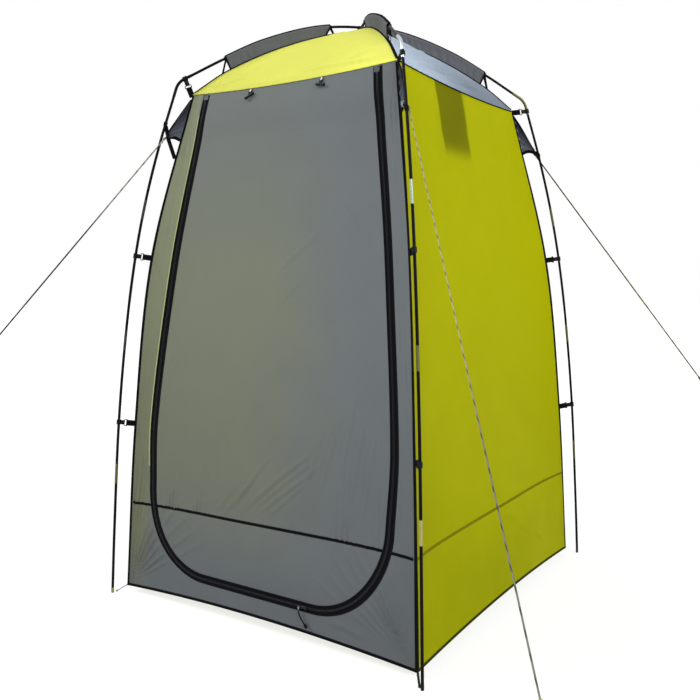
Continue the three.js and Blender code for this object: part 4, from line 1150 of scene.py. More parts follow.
def guy_line(corner):
    """The cord of one corner, its knot at the ring and the peg loop at its far end."""
    start, end = guy_start(corner), np.array(GUY_ENDS[corner])
    along = unit(end - start)
    level = unit(np.cross(along, (0, 0, 1)))
    above = np.cross(level, along)
    line_end = end - along * GUY_LOOP
    path = between(start, line_end, 24)
    look = f"guy_{corner}"
    thick = GUY_RADII[corner]
    line = piece(f"guy_cord_{corner}", tube(path, thick, 10), look,
                 replaced=(f"guy_line_{corner}",), slot="guy_cord")
    knot_at = [start + along * (0.004 + 0.0034 * k) for k in range(3)]
    wraps = wraps_round(knot_at, level, above, 0.0036, KNOT_CORD)
    tail = spline_through([start + along * 0.005 + level * 0.003, start + along * 0.016 + level * 0.006,
                           start + along * 0.024 + level * 0.009 - above * 0.004], 10)
    wraps.append(tube(tail, KNOT_CORD, 8))
    bow = spline_through([line_end + along * out + above * up for out, up in PEG_BOW], 40)
    peg_at = [line_end + along * (0.001 + 0.0032 * k) for k in range(3)]
    peg = [tube(bow, PEG_CORD, 8), *wraps_round(peg_at, level, above, 0.0032, KNOT_CORD)]
    knot = piece(f"guy_knot_{corner}", merged(wraps), look, slot="guy_cord")
    loop = piece(f"guy_peg_loop_{corner}", merged(peg), look, slot="guy_cord")
    tuple(start)


class TENT_OT_guy_lines(bpy.types.Operator):
    """Guy lines at three corners, each with its knot at the ring and a peg loop at the far end"""

    bl_idname = "tent.guy_lines"
    bl_label = "Guy lines"

    def execute(self, context):
        for corner in GUY_ENDS:
            guy_line(corner)
        return {"FINISHED"}


# Walls and door

CELL = {"front": 0.0047, "right": 0.0070, "back": 0.0095, "left": 0.0095}


def wall_grid(side):
    """A grid of (across, height) places over a wall, with a level row at the top of the door."""
    cell = CELL[side]
    rows = int(round((EAVE_HEIGHT - HEM_HEIGHT) / cell)) + 1
    columns = int(round(2 * HEM_HALF / cell)) + 1
    level = np.linspace(HEM_HEIGHT, EAVE_HEIGHT, rows)
    for kept in (DOOR_TOP, SEAM_HEIGHT):
        level[np.argmin(np.abs(level - kept))] = kept
    share = np.linspace(-1, 1, columns)
    up = ((level - HEM_HEIGHT) / (EAVE_HEIGHT - HEM_HEIGHT))[:, None]
    rise = HEM_RISE * (1 - share ** 2)
    z = level[:, None] + rise * (1 - up) ** 4
    x = share * wall_half(z)
    return x, z


def zip_line(top):
    """The zip as places (across, height), from the top of the left arm round to the top of the right one."""
    arm = np.linspace(top, DOOR_CORNER_HEIGHT, 120)
    angle = np.linspace(0, math.pi / 2, 45)[1:]
    sill = np.linspace(SILL_HALF, 0, 22)[1:]
    corner_x = SILL_HALF + (CORNER_HALF - SILL_HALF) * np.cos(angle)
    corner_z = DOOR_CORNER_HEIGHT - (DOOR_CORNER_HEIGHT - SILL_HEIGHT) * np.sin(angle)
    right_x = np.concatenate([door_half(arm), corner_x, sill])
    right_z = np.concatenate([arm, corner_z, np.full(len(sill), SILL_HEIGHT)])
    x = np.concatenate([-right_x, right_x[::-1][1:]])
    z = np.concatenate([right_z, right_z[::-1][1:]])
    return even_steps(x, z, 0.006)


def even_steps(x, z, step):
    run = np.concatenate([[0], np.cumsum(np.hypot(np.diff(x), np.diff(z)))])
    at = np.linspace(0, run[-1], int(round(run[-1] / step)) + 1)
    return np.interp(at, run, x), np.interp(at, run, z)


def nearest_on_line(x, z, line_x, line_z):
    """The nearest place of a line to each point, and how far it is."""
    best = np.full(x.shape, np.inf)
    near_x, near_z = x.copy(), z.copy()
    for ax, az, bx, bz in zip(line_x[:-1], line_z[:-1], line_x[1:], line_z[1:]):
        dx, dz = bx - ax, bz - az
        t = np.clip(((x - ax) * dx + (z - az) * dz) / (dx * dx + dz * dz), 0, 1)
        qx, qz = ax + t * dx, az + t * dz
        far = np.hypot(x - qx, z - qz)
        closer = far < best
        best[closer], near_x[closer], near_z[closer] = far[closer], qx[closer], qz[closer]
    return best, near_x, near_z


def split_at_door(x, z):
    """Cuts the front grid along the zip: the places, and the faces of the wall and of the door."""
    line_x, line_z = zip_line(DOOR_TOP + 0.03)
    close = (np.abs(np.abs(x) - door_half(z)) < 0.05) | (z < SILL_HEIGHT + 0.3)
    far, near_x, near_z = np.full(x.shape, 1.0), x.copy(), z.copy()
    far[close], near_x[close], near_z[close] = nearest_on_line(x[close], z[close], line_x, line_z)
    inside = (np.abs(x) < door_half(z)) & (z > SILL_HEIGHT)
    signed = np.where(inside, -far, far)
    snap = (far < 0.62 * CELL["front"]) & (z <= DOOR_TOP + 1e-6)
    x, z = np.where(snap, near_x, x), np.where(snap, near_z, z)
    signed = np.where(snap, 0.0, signed)
    over = np.where(np.abs(z - DOOR_TOP) < 1e-6, 0.0, z - DOOR_TOP)
    signed = np.maximum(signed, over)
    state = np.sign(np.round(signed, 9)).ravel()
    wall, door = [], []
    for quad in grid_quads(*x.shape):
        marks = [state[i] for i in quad]
        if max(marks) <= 0:
            door.append(quad)
        elif min(marks) >= 0:
            wall.append(quad)
        else:
            first = 0 if marks[0] == 0 and marks[2] == 0 else 1
            ring = quad[first:] + quad[:first]
            for triangle in (ring[:3], [ring[0], ring[2], ring[3]]):
                (door if sum(state[i] for i in triangle) < 0 else wall).append(triangle)
    return x, z, wall, door


def only_used(points, faces, run, side):
    """Drops the points that no face uses."""
    used = sorted({i for face in faces for i in face})
    new = {old: k for k, old in enumerate(used)}
    return Body(points[used], [[new[i] for i in face] for face in faces], run[used], side[used])


def sheet_body(grid, run, side):
    """A cloth from a grid of points, rows by columns."""
    return Body(grid, grid_quads(*grid.shape[:2]), run, side)


def edge_band(surface, sign):
    """The binding down one edge of a wall."""
    z = np.linspace(HEM_HEIGHT + 0.001, EAVE_HEIGHT - 0.006, 150)
    x = sign * (wall_half(z) - EDGE_WIDTH / 2 - CLEARANCE)
    return band_on(surface, x, z, *band_section(EDGE_WIDTH, 0.0012))


def hem_band(surface):
    """The tape folded over the foot of a wall."""
    x = np.linspace(-HEM_HALF + 0.0004, HEM_HALF - 0.0004, 150)
    z = hem_line(x) + 0.0004
    w, rise = 0.0095, 0.0013
    offsets = np.array([0.0, 0.0006, w * 0.5, w - 0.001, w, w, w * 0.5, 0.0006])
    lifts = np.array([0.0, rise, rise * 1.1, rise, 0.0006, -0.0012, -0.0022, -0.0020])
    return band_on(surface, x, z, offsets, lifts)


# Two heights above and below the door's hinge, passed along with the door's pieces, which stay where they are
# made
DOOR_BEND_TOP, DOOR_BEND_FOOT = 1.742, 1.690
DOOR_HINGE_Y = hinge_places["door_hinge"][1]
DOOR_BLEND = ("tent", "door", (0, DOOR_HINGE_Y, DOOR_BEND_TOP), (0, DOOR_HINGE_Y, DOOR_BEND_FOOT))


class TENT_OT_side_walls(bpy.types.Operator):
    """Right, back and left walls with their hems and skirt seams"""

    bl_idname = "tent.side_walls"
    bl_label = "Side and back walls"

    def execute(self, context):
        for side, look, tape, hem_tape in (("right", "lime", "olive_tape", "olive_hem"),
                                           ("back", "slate", "binding", "binding"),
                                           ("left", "lime", "olive_tape", "olive_hem")):
            surface = wall_surface(side)
            x, z = wall_grid(side)
            cloth = sheet_body(surface(x, z, 0.0), z, x / HEM_HALF)
            wall = piece(f"{side}_wall_cloth", cloth, look, replaced=(f"{side}_wall",),
                         slot=f"{look}_cloth")
            seam_x = np.linspace(-1, 1, 160) * (wall_half(SEAM_HEIGHT) - BINDING_WIDTH)
            band = band_on(surface, seam_x, seam_line(side, seam_x), *band_section(SEAM_WIDTH, SEAM_RISE))
            seam = piece(f"{side}_seam_tape", band, tape)
            hem = piece(f"{side}_hem", hem_band(surface), hem_tape)
        return {"FINISHED"}


def front_cloths(surface):
    """The skirt, the strips left and right of the zip, and the door."""
    x, z, wall_faces, door_faces = split_at_door(*wall_grid("front"))
    points, across, height = surface(x, z, 0.0).reshape(-1, 3), x.ravel(), z.ravel()
    skirt, left, right = [], [], []
    for face in wall_faces:
        places = list(face)
        if height[places].mean() < SEAM_HEIGHT:
            skirt.append(face)
        elif across[places].mean() < 0:
            left.append(face)
        else:
            right.append(face)
    made = []
    for name, faces, rides, replaced in (("front_skirt_cloth", skirt, "tent", ("front_wall",)),
                                         ("front_left_cloth", left, "tent", ()),
                                         ("front_right_cloth", right, "tent", ()),
                                         ("door_cloth", door_faces, DOOR_BLEND, ("door_panel",))):
        cloth = only_used(points, faces, height, across / HEM_HALF)
        made.append(piece(name, cloth, "slate", rides=rides, replaced=replaced, slot="slate_cloth"))
    return made


def zip_tapes(surface):
    """The wall's and the door's tape, and the fold beside the left arm, pale with a painted highlight."""
    line_x, line_z = zip_line(ZIP_TOP)
    gap, width = CLEARANCE, ZIP_TAPE_WIDTH
    off = np.array([gap, gap, 0.0034, 0.0055, 0.0100, 0.0114, 0.0138, width, width, 0.009])
    lift = np.array([-0.0010, 0.0009, 0.0010, 0.0007, 0.0008, 0.0015, 0.0016, 0.0009, -0.0012, -0.0014])
    wider = 1 + 0.24 * ease(line_x, 0.20, 0.45)
    wall = piece("zip_tape_wall", band_on(surface, line_x, line_z, -off, lift, wider), "zip_tape")
    door = piece("zip_tape_door", band_on(surface, line_x, line_z, off, lift), "zip_tape",
                 rides=DOOR_BLEND)
    arm_z = np.linspace(1.70, 0.46, 160)
    arm_x = -(door_half(arm_z) + ZIP_TAPE_WIDTH + 0.0022)
    fold = piece("zip_edge_fold", band_on(surface, arm_x, arm_z, *band_section(0.0030, 0.0022)),
                 "edge_fold")
    return wall, door, fold


def zip_end_tacks(surface):
    """A dull bar across the top end of each arm."""
    tacks = []
    for sign in (-1, 1):
        edge = np.linspace(door_half(ZIP_TOP) - 0.0100, door_half(ZIP_TOP) + 0.0100, 9) * sign
        level = np.full(9, ZIP_TOP - 0.010)
        tacks.append(band_on(surface, edge[::sign], level, *band_section(0.0160, 0.0032)))
    return piece("zip_end_tacks", merged(tacks), "stop_metal")


def front_seams(surface):
    """The skirt seam's tape on the wall beside the door, and its stretch on the door."""
    arm = float(door_half(SEAM_HEIGHT))
    clear = 0.013
    section = band_section(SEAM_WIDTH, SEAM_RISE)
    outer = wall_half(SEAM_HEIGHT) - BINDING_WIDTH
    seams = []
    for sign in (-1, 1):
        reach = np.linspace(sign * (arm + clear), sign * outer, 60)[::sign]
        seams.append(band_on(surface, reach, seam_line("front", reach), *section))
    wall = piece("front_seam_tape", merged(seams), "binding")
    inner = np.linspace(-arm + clear, arm - clear, 120)
    door = piece("door_seam_tape", band_on(surface, inner, seam_line("front", inner), *section),
                 "binding", rides="door")
    return wall, door


def zip_teeth(surface, sign):
    """Teeth along one half of the zip; those of the other half stand between them."""
    pitch = 0.0042
    line_x, line_z = zip_line(ZIP_TOP - 0.004)
    x, z = even_steps(line_x, line_z, pitch / 2)
    first = 0 if sign > 0 else 1
    dx, dz = np.gradient(x), np.gradient(z)
    length = np.hypot(dx, dz)
    tx, tz = dx / length, dz / length
    x, z, tx, tz = (v[first::2] for v in (x, z, tx, tz))
    corners = []
    for off, along, lift in ((0.0002, 0.6, 0.0011), (0.0036, 1.0, 0.0011), (0.0036, -1.0, 0.0011),
                             (0.0002, -0.6, 0.0011), (0.0006, 0.5, 0.0026), (0.0032, 0.7, 0.0023),
                             (0.0032, -0.7, 0.0023), (0.0006, -0.5, 0.0026)):
        px = x - tz * sign * off + tx * along * pitch * 0.27
        pz = z + tx * sign * off + tz * along * pitch * 0.27
        corners.append(surface(px, pz, lift))
    points = np.stack(corners, axis=1).reshape(-1, 3)
    faces = [[8 * k + i for i in face] for k in range(len(x)) for face in BOX_FACES]
    return Body(points, faces, np.repeat(np.arange(len(x)) * pitch, 8), 0.0)


class TENT_OT_front(bpy.types.Operator):
    """Front wall round the doorway, the door inside it, and the zip between them"""

    bl_idname = "tent.front"
    bl_label = "Front wall and door"

    def execute(self, context):
        surface = wall_surface("front")
        skirt, left, right, door = front_cloths(surface)
        wall_zip, door_zip, fold = zip_tapes(surface)
        stop = zip_end_tacks(surface)
        teeth_wall = piece("zip_teeth_wall", zip_teeth(surface, -1), "zip_teeth", sharp=60)
        teeth_door = piece("zip_teeth_door", zip_teeth(surface, 1), "zip_teeth", rides=DOOR_BLEND,
                           sharp=60)
        wall_seam, door_seam = front_seams(surface)
        hem = piece("front_hem", hem_band(surface), "binding")
        return {"FINISHED"}


class TENT_OT_bindings(bpy.types.Operator):
    """Binding and piping down the four corner seams"""

    bl_idname = "tent.bindings"
    bl_label = "Corner bindings"

    def execute(self, context):
        beside = {"fl": (("front", -1), ("left", 1)), "fr": (("front", 1), ("right", -1)),
                  "br": (("right", 1), ("back", -1)), "bl": (("back", 1), ("left", -1))}
        for corner, edges in beside.items():
            bands = [edge_band(wall_surface(side), sign) for side, sign in edges]
            z = np.linspace(HEM_HEIGHT, EAVE_HEIGHT - 0.008, 130)
            piping = at_corner(corner, wall_half(z) * DIAGONAL + 0.0004, 0.0, z)
            bands.append(tube(piping, 0.0017, 10))
            piece(f"seam_binding_{corner}", merged(bands), "binding")
        return {"FINISHED"}


# Roof

ROOF_STANDOFF, ROOF_HEM_WIDTH = 0.0021, 0.018


def roof_profile():
    """Half width and height from below the eave to the top, with the run from the eave."""
    low_z = np.linspace(EAVE_HEIGHT - 0.030, EAVE_HEIGHT, 8)[:-1]
    half = np.linspace(EAVE_HALF, 0.0, 120)
    h = np.concatenate([wall_half(low_z), half])
    z = np.concatenate([low_z, roof_height(half)])
    run = lengths_along(np.stack([h, z], axis=-1))
    return h, z, run - run[len(low_z)]


def roof_surface(side, pulls):
    """The face of a roof gore: a rule of (share across, run from the eave, lift) that gives points."""
    h, z, run = roof_profile()
    dh, dz = np.gradient(h, run), np.gradient(z, run)
    kernel = np.ones(5) / 5
    dh = np.convolve(np.pad(dh, 2, mode="edge"), kernel, mode="valid")
    dz = np.convolve(np.pad(dz, 2, mode="edge"), kernel, mode="valid")

    def surface(share, along, lift):
        share, along, lift = np.broadcast_arrays(*(np.asarray(v, float) for v in (share, along, lift)))
        half, high = np.interp(along, run, h), np.interp(along, run, z)
        th, tz = np.interp(along, run, dh), np.interp(along, run, dz)
        size = np.hypot(th, tz)
        held = 1 - ease(np.abs(share), 0.84, 0.98)
        pulled = held * sum(pull(share, along) for pull in pulls)
        pulled = np.where(along < 0.012, np.maximum(pulled, -0.0006), pulled)
        proud = lift + pulled + ROOF_STANDOFF
        out, up = proud * tz / size, -proud * th / size
        return turn_z(np.stack([share * half, -(half + out), high + up], axis=-1), SIDE_TURNS[side])

    return surface


# Soft folds of the roof: from (share across, run) to (share across, run), width and height
ROOF_FOLDS = {
    "visor": (
        (0.05, 0.024, 0.95, 0.034, 0.013, 0.0085),
        (-0.85, 0.030, -0.30, 0.240, 0.012, 0.0052),
        (0.30, 0.060, 0.80, 0.200, 0.012, 0.0046),
        (-0.10, 0.300, 0.20, 0.420, 0.011, 0.0042),
        (0.45, 0.040, 0.92, 0.110, 0.010, 0.0050),
        (-0.92, 0.020, -0.45, 0.060, 0.009, 0.0050),
    ),
    "gore": (
        (-0.85, 0.030, 0.30, 0.110, 0.007, 0.0078),
        (-0.70, 0.060, 0.45, 0.135, 0.007, 0.0074),
        (-0.50, 0.020, 0.75, 0.060, 0.006, 0.0062),
        (-0.45, 0.120, 0.60, 0.175, 0.007, 0.0066),
        (-0.20, 0.190, 0.55, 0.225, 0.008, 0.0056),
        (0.05, 0.250, 0.45, 0.270, 0.008, 0.0048),
        (-0.90, 0.080, -0.10, 0.210, 0.007, 0.0066),
    ),
}


def roof_pulls(kind):
    """Soft folds of a gore, in shares across and metres of run."""
    depth = bpy.context.scene.tent_cloth.crease_depth

    def fold(s0, r0, s1, r1, width, height):
        def field(share, along):
            x = share * EAVE_HALF * np.maximum(0.15, 1 - along / 0.5)
            x0, x1 = (s * EAVE_HALF * max(0.15, 1 - r / 0.5) for s, r in ((s0, r0), (s1, r1)))
            ux, ur = x1 - x0, r1 - r0
            size = math.hypot(ux, ur)
            t = ((x - x0) * ux + (along - r0) * ur) / size ** 2
            off = ((x - x0) * ur - (along - r0) * ux) / size
            ends = ease(t, 0, 0.3) * (1 - ease(t, 0.7, 1))
            ridge, dip = np.exp(-(off / width) ** 2), np.exp(-((off - 1.5 * width) / width) ** 2)
            return depth * height * ends * (ridge - 0.5 * dip)

        return field

    def ripples(count, height, phase):
        def field(share, along):
            fade = ease(along, 0.0, 0.05) * (1 - ease(along, 0.30, 0.46))
            wave = np.sin(count * along * 20 + 3 * share + phase + 1.5 * np.sin(4 * share + phase))
            return depth * height * fade * wave * (0.5 + 0.5 * np.sin(2.3 * share + phase))

        return field

    def hem_gathers(spacing, height, phase):
        def field(share, along):
            near = np.exp(-np.abs(along - 0.014) / 0.020)
            x = share * EAVE_HALF
            return depth * height * near * np.sin(2 * math.pi * x / spacing + 1.7 * np.sin(9 * x + phase))

        return field

    folds = [fold(*row) for row in ROOF_FOLDS[kind]]
    if kind == "visor":
        return (*folds, hem_gathers(0.030, 0.0018, 0.5), ripples(1.0, 0.0028, 0.7))
    return (*folds, hem_gathers(0.034, 0.0018, 1.5), ripples(1.7, 0.0022, 2.0))


class TENT_OT_roof(bpy.types.Operator):
    """Visor over the door and the three roof gores, each with its turned-up hem"""

    bl_idname = "tent.roof"
    bl_label = "Visor and roof gores"

    def execute(self, context):
        names = {"front": ("roof_visor", "yellow", "visor"), "right": ("roof_gore_right", "mist", "gore"),
                 "back": ("roof_gore_back", "yellow", "visor"), "left": ("roof_gore_left", "mist", "gore")}
        top = float(roof_profile()[2][-1])
        for side, (node, look, kind) in names.items():
            surface = roof_surface(side, roof_pulls(kind))
            share = np.linspace(-1, 1, 151)
            low = roof_hem_line(share * EAVE_HALF) - EAVE_HEIGHT
            shares = np.array([0, 0.25, 0.5, 0.75])[:, None]
            runs = np.concatenate([np.arange(ROOF_HEM_WIDTH, 0.070, 0.003),
                                   np.linspace(0.074, top - 0.004, 70)])
            along = np.concatenate([low * (1 - shares) + ROOF_HEM_WIDTH * shares,
                                    np.broadcast_to(runs[:, None], (len(runs), len(share)))])
            across = np.broadcast_to(share, along.shape)
            cloth = sheet_body(surface(across, along, 0.0), along, across)
            panel = piece(f"{node}_cloth", cloth, look, replaced=(node,), slot=f"{look}_cloth")
            offsets = np.array([0.0, 0.0004, 0.006, 0.0115, 0.012, 0.0115, 0.006, 0.0004])
            lifts = np.array([-0.0006, 0.0010, 0.0014, 0.0012, 0.0, -0.0008, -0.0010, -0.0012])
            ends = share[1:-1]
            base = roof_hem_line(ends * EAVE_HALF) - EAVE_HEIGHT
            rings = surface(ends[:, None], base[:, None] + offsets, lifts)
            hem = piece(f"{node}_hem", rings_body(rings, (ends + 1) * EAVE_HALF, offsets / 0.006 - 1),
                        look)
            if kind == "gore":
                edge = surface(ends, base - 0.0004, 0.0004)
                piece(f"{node}_piping", tube(edge, 0.0019, 8), "binding")
        return {"FINISHED"}


# Sleeves and gussets

SLEEVE_SHARES = (0.184, 0.809)
SLEEVE_SLANT, SLEEVE_RADIUS, SLEEVE_CROWN = 0.016, 0.0068, 0.0080
SLEEVE_PLACES = 90


def arch_line(arch, low, high, count):
    reach = np.linspace(low, high, count)
    return reach, arch_heights[arch](np.abs(reach))


class Sleeve:
    """The run of one sleeve: the rod that it wraps and its foot on the roof ridge."""

    def __init__(self, corner):
        high, low = (share * EAVE_REACH for share in SLEEVE_SHARES)
        share = np.linspace(0, 1, SLEEVE_PLACES)
        self.corner, self.high = corner, high
        self.reach = high + share * (low - high)
        self.rod = arch_heights[CORNER_ARCH[corner]](self.reach)
        self.foot_reach = high + SLEEVE_SLANT + share * (low - high - 2 * SLEEVE_SLANT)
        self.foot = roof_height(self.foot_reach / DIAGONAL) + 0.0032
        self.slope = np.gradient(self.rod, self.reach)
        self.size = np.hypot(1, self.slope)

    def off_rod(self, out, side):
        """Places that stand out from the rod, square to it."""
        reach, height = self.reach - self.slope / self.size * out, self.rod + out / self.size
        return at_corner(self.corner, reach, side, height)

    def flank(self, sign):
        """One gathered side of the sleeve, up from the ridge on one side and down on the other."""
        climb = (np.linspace(0, 1, 9) if sign > 0 else np.linspace(1, 0, 9))[:, None]
        row_reach = self.foot_reach + (self.reach - self.foot_reach) * climb
        row_height = self.foot + (self.rod - SLEEVE_RADIUS * 0.9 - self.foot) * climb
        ripple = np.sin(2 * math.pi * self.reach / 0.031 + 1.6 * np.sin(self.reach * 31))
        gather = ripple * np.sin(math.pi * climb) ** 0.8
        gather = gather * (0.0016 + 0.0010 * np.sin(self.reach * 47 + sign))
        side = sign * (0.0012 + 0.0035 * climb ** 3) + gather * sign * 0.9
        return at_corner(self.corner, row_reach, side, row_height)

    def cloth(self):
        angle = np.linspace(-0.15, math.pi + 0.15, 11)[:, None]
        lift = SLEEVE_RADIUS * (1 + 0.05 * np.sin(2 * math.pi * self.reach / 0.024))
        over = self.off_rod(np.sin(angle) * lift, np.cos(angle) * lift)
        grid = np.concatenate([self.flank(1), over, self.flank(-1)])
        run = np.broadcast_to(self.reach - self.high, grid.shape[:2])
        side = np.broadcast_to(np.linspace(-1, 1, grid.shape[0])[:, None], grid.shape[:2])
        return sheet_body(grid, run, side)

    def ridge_binding(self):
        line = np.linspace(0.030, EAVE_REACH - 0.004, 120)
        ridge = at_corner(self.corner, line, 0.0, roof_height(line / DIAGONAL) + 0.0030)
        return sweep(ridge, flat_outline(0.0100, 0.0042, 0.0008), (0, 0, 1))

    def end_webbing(self, at, outward):
        """Webbing at one end: two straps on each side and a loop over the rod."""
        corner, high, bands = self.corner, self.rod[at], []
        foot_at = self.reach[at] + outward * 0.012
        for sign in (-1, 1):
            out = at_corner(corner, 0.0, sign, 0.0)
            head = at_corner(corner, self.reach[at], sign * 0.0074, high - 0.002)
            base = at_corner(corner, foot_at, sign * 0.0022, roof_height(foot_at / DIAGONAL) + 0.0035)
            edge = at_corner(corner, self.foot_reach[at], sign * 0.0024, self.foot[at] + 0.002)
            bands.append(sweep(between(head, base, 8), flat_outline(0.0065, 0.0012), out))
            bands.append(sweep(between(head, edge, 8), flat_outline(0.0060, 0.0014), out))
        angle = np.linspace(0, math.pi, 12)
        top = np.sin(angle) * SLEEVE_CROWN
        loop = at_corner(corner, self.reach[at] - self.slope[at] / self.size[at] * top,
                         np.cos(angle) * SLEEVE_CROWN, high - 0.002 + top)
        middle = at_corner(corner, self.reach[at], 0, high - 0.003)
        bands.append(sweep(loop, flat_outline(0.0085, 0.0012), loop - middle))
        return bands

    def webbing(self):
        """The tape along the crown and the webbing at both ends."""
        crown = self.off_rod(SLEEVE_CROWN, 0.0)
        outward = crown - at_corner(self.corner, self.reach, 0.0, self.rod)
        bands = [sweep(crown, flat_outline(0.0100, 0.0034), outward)]
        return merged(bands + self.end_webbing(0, -1) + self.end_webbing(SLEEVE_PLACES - 1, 1))


class TENT_OT_sleeves(bpy.types.Operator):
    """Cloth sleeves that hang the roof ridges on the rods"""

    bl_idname = "tent.sleeves"
    bl_label = "Rod sleeves"

    def execute(self, context):
        for corner, arch in CORNER_ARCH.items():
            run = Sleeve(corner)
            sleeve = piece(f"sleeve_cloth_{corner}", run.cloth(), "sleeve",
                           replaced=(f"sleeve_{corner}",), slot="slate_cloth")
            binding = piece(f"ridge_binding_{corner}", run.ridge_binding(), "binding")
            piece(f"sleeve_webbing_{corner}", run.webbing(), "webbing")
        return {"FINISHED"}


def rod_direction(z):
    step = 0.01
    return unit(np.array([float(leg_reach(z + step) - leg_reach(z - step)), 2 * step]))


GUSSET_LOW, GUSSET_HIGH = 1.616, 1.762
# How far the upper edge bows up, and how high the collar sits on the rod
GUSSET_BOWS, GUSSET_BOW, GUSSET_LOWER_BOW = {"fr": 0.044}, 0.002, 0.006
COLLAR_HEIGHTS, COLLAR_HEIGHT = {"fl": 1.672}, 1.612
COLLAR_RADIUS, COLLAR_WIDTH, COLLAR_THICKNESS, LINK_THICKNESS = 0.0061, 0.014, 0.0014, 0.0018
TIE_ROOT = 1.550


def gusset_grid(corner):
    """Pleated cloth from the corner seam to the guy ring: the grid of points, and shares up and across."""
    tip_reach, tip_z = GUSSET_TIP
    u = np.linspace(0, 1, 46)[:, None]
    v = np.linspace(0, 1, 24)[None, :]
    edge_z = GUSSET_LOW + u * (GUSSET_HIGH - GUSSET_LOW)
    edge_reach = ridge_reach(edge_z)
    end_z = tip_z - 0.006 + u * 0.012
    rise = np.sin(math.pi * v) * (GUSSET_LOWER_BOW * (1 - u) + GUSSET_BOWS.get(corner, GUSSET_BOW) * u)
    reach = edge_reach + (tip_reach - edge_reach) * v
    height = edge_z + (end_z - edge_z) * v + rise
    pleat = np.sin(2 * math.pi * 4.5 * u + 0.8 * np.sin(5 * v)) * np.sin(math.pi * (0.12 + 0.80 * v))
    side = 0.0046 * pleat * (1 - 0.65 * v)
    return at_corner(corner, reach, side, height), u, v


def gusset_webbing(corner, grid):
    """Edge tapes, the collar on the rod, the link from the ring to it, and the raised corner's tie."""
    tip_reach, tip_z = GUSSET_TIP
    lateral = at_corner(corner, 0.0, 1.0, 0.0)
    straps = [sweep(grid[row], flat_outline(width, 0.0028), lateral)
              for row, width in ((0, 0.012), (-1, 0.006))]
    collar_z = COLLAR_HEIGHTS.get(corner, COLLAR_HEIGHT)
    centre = np.array([float(leg_reach(collar_z)), collar_z])
    axis = rod_direction(collar_z)
    across = np.array([axis[1], -axis[0]])
    angle = turn_angles(24)
    collar = at_corner(corner, centre[0] + across[0] * np.cos(angle) * COLLAR_RADIUS,
                       np.sin(angle) * COLLAR_RADIUS, centre[1] + across[1] * np.cos(angle) * COLLAR_RADIUS)
    straps.append(sweep(collar, flat_outline(COLLAR_THICKNESS, COLLAR_WIDTH),
                        upright(corner, axis), closed=True))
    link_end = toward(centre, (tip_reach, tip_z), 0.0064)
    lines = [between((tip_reach - 0.004, tip_z), link_end, 8)]
    if corner in COLLAR_HEIGHTS:
        root = (float(ridge_reach(TIE_ROOT)) + CLEARANCE, TIE_ROOT)
        lines.append(between(root, (tip_reach - 0.002, tip_z), 14))
    for line in lines:
        straps.append(sweep(upright(corner, line), flat_outline(COLLAR_WIDTH, LINK_THICKNESS), lateral))
    return merged(straps)


class TENT_OT_gussets(bpy.types.Operator):
    """Pleated corner gussets with their webbing collars and guy rings"""

    bl_idname = "tent.gussets"
    bl_label = "Corner gussets"

    def execute(self, context):
        tip_reach, tip_z = GUSSET_TIP
        for corner in CORNER_TURNS:
            grid, u, v = gusset_grid(corner)
            cloth = sheet_body(grid, np.broadcast_to(v * 0.1, grid.shape[:2]),
                               np.broadcast_to(2 * u - 1, grid.shape[:2]))
            gusset = piece(f"gusset_cloth_{corner}", cloth, "gusset",
                           replaced=(f"gusset_{corner}",), slot="slate_cloth")
            webbing = piece(f"gusset_webbing_{corner}", gusset_webbing(corner, grid), "webbing")
            bright = corner == "fr"
            radius = SMALL_GUY_RING if bright else GUY_RING
            angle = turn_angles(28)
            ring = at_corner(corner, tip_reach, radius * np.cos(angle), tip_z + radius * np.sin(angle))
            piece(f"guy_ring_{corner}", tube(ring, RING_WIRE, 10, closed=True),
                  "metal" if bright else "ring_metal")
        return {"FINISHED"}


# Rods

FERRULE_LOOKS = {("fr", "foot"): "pale_brass", ("fr", "shin"): "olive_metal", ("fr", "thigh"): "pale_metal",
                 ("fl", "foot"): "olive_metal", ("fl", "shin"): "dark_metal", ("fl", "thigh"): "dark_metal"}
ELBOW_LOOKS = {"fl": "rod", "fr": "metal", "br": "olive_metal", "bl": "rod"}
TIP_LOOKS = {"fl": "tip_metal", "fr": "plastic", "br": "dark_metal", "bl": "dark_metal"}


def metal_radius(rim, radius, lip, lip_run, groove, groove_at, groove_width):
    """Radius of a metal tube with eased ends and a pressed groove; rim is how far its nearer end lies."""
    eased = radius - lip * (1 - ease(rim, 0.0, lip_run))
    return eased - groove * np.exp(-((rim - groove_at) / groove_width) ** 2)


def leg_piece(name, corner, z, radius, look, **more):
    """A round piece that follows the leg's line over the heights z."""
    return piece(name, tube(at_corner(corner, leg_reach(z), 0.0, z), radius, 24), look, **more)


def leg_rods(corner):
    """The four rods of a leg, and the ferrules on the lower three."""
    for index, part in enumerate(LEG_PARTS):
        last = index == len(LEG_PARTS) - 1
        low = FOOT_TIP_TOP if index == 0 else ROD_JOINTS[index] + JOINT_GAP
        high = leg_top[1] if last else ROD_JOINTS[index + 1]
        leg_piece(f"rod_{part}_shaft_{corner}", corner, np.linspace(low, high, 36), ROD_RADIUS, "rod",
                  replaced=(f"rod_{part}_{corner}",), slot="rod_gloss")
        if not last:
            z = np.linspace(high - FERRULE_LENGTH / 2, high + FERRULE_LENGTH / 2, 25)
            rim = np.minimum(z - z[0], z[-1] - z)
            radius = metal_radius(rim, FERRULE_RADIUS, 0.0002, 0.0015, 0.00015, 0.009, 0.0012)
            look = FERRULE_LOOKS.get((corner, part), "olive_metal")
            leg_piece(f"ferrule_{part}_{corner}", corner, z, radius, look, slot="steel")


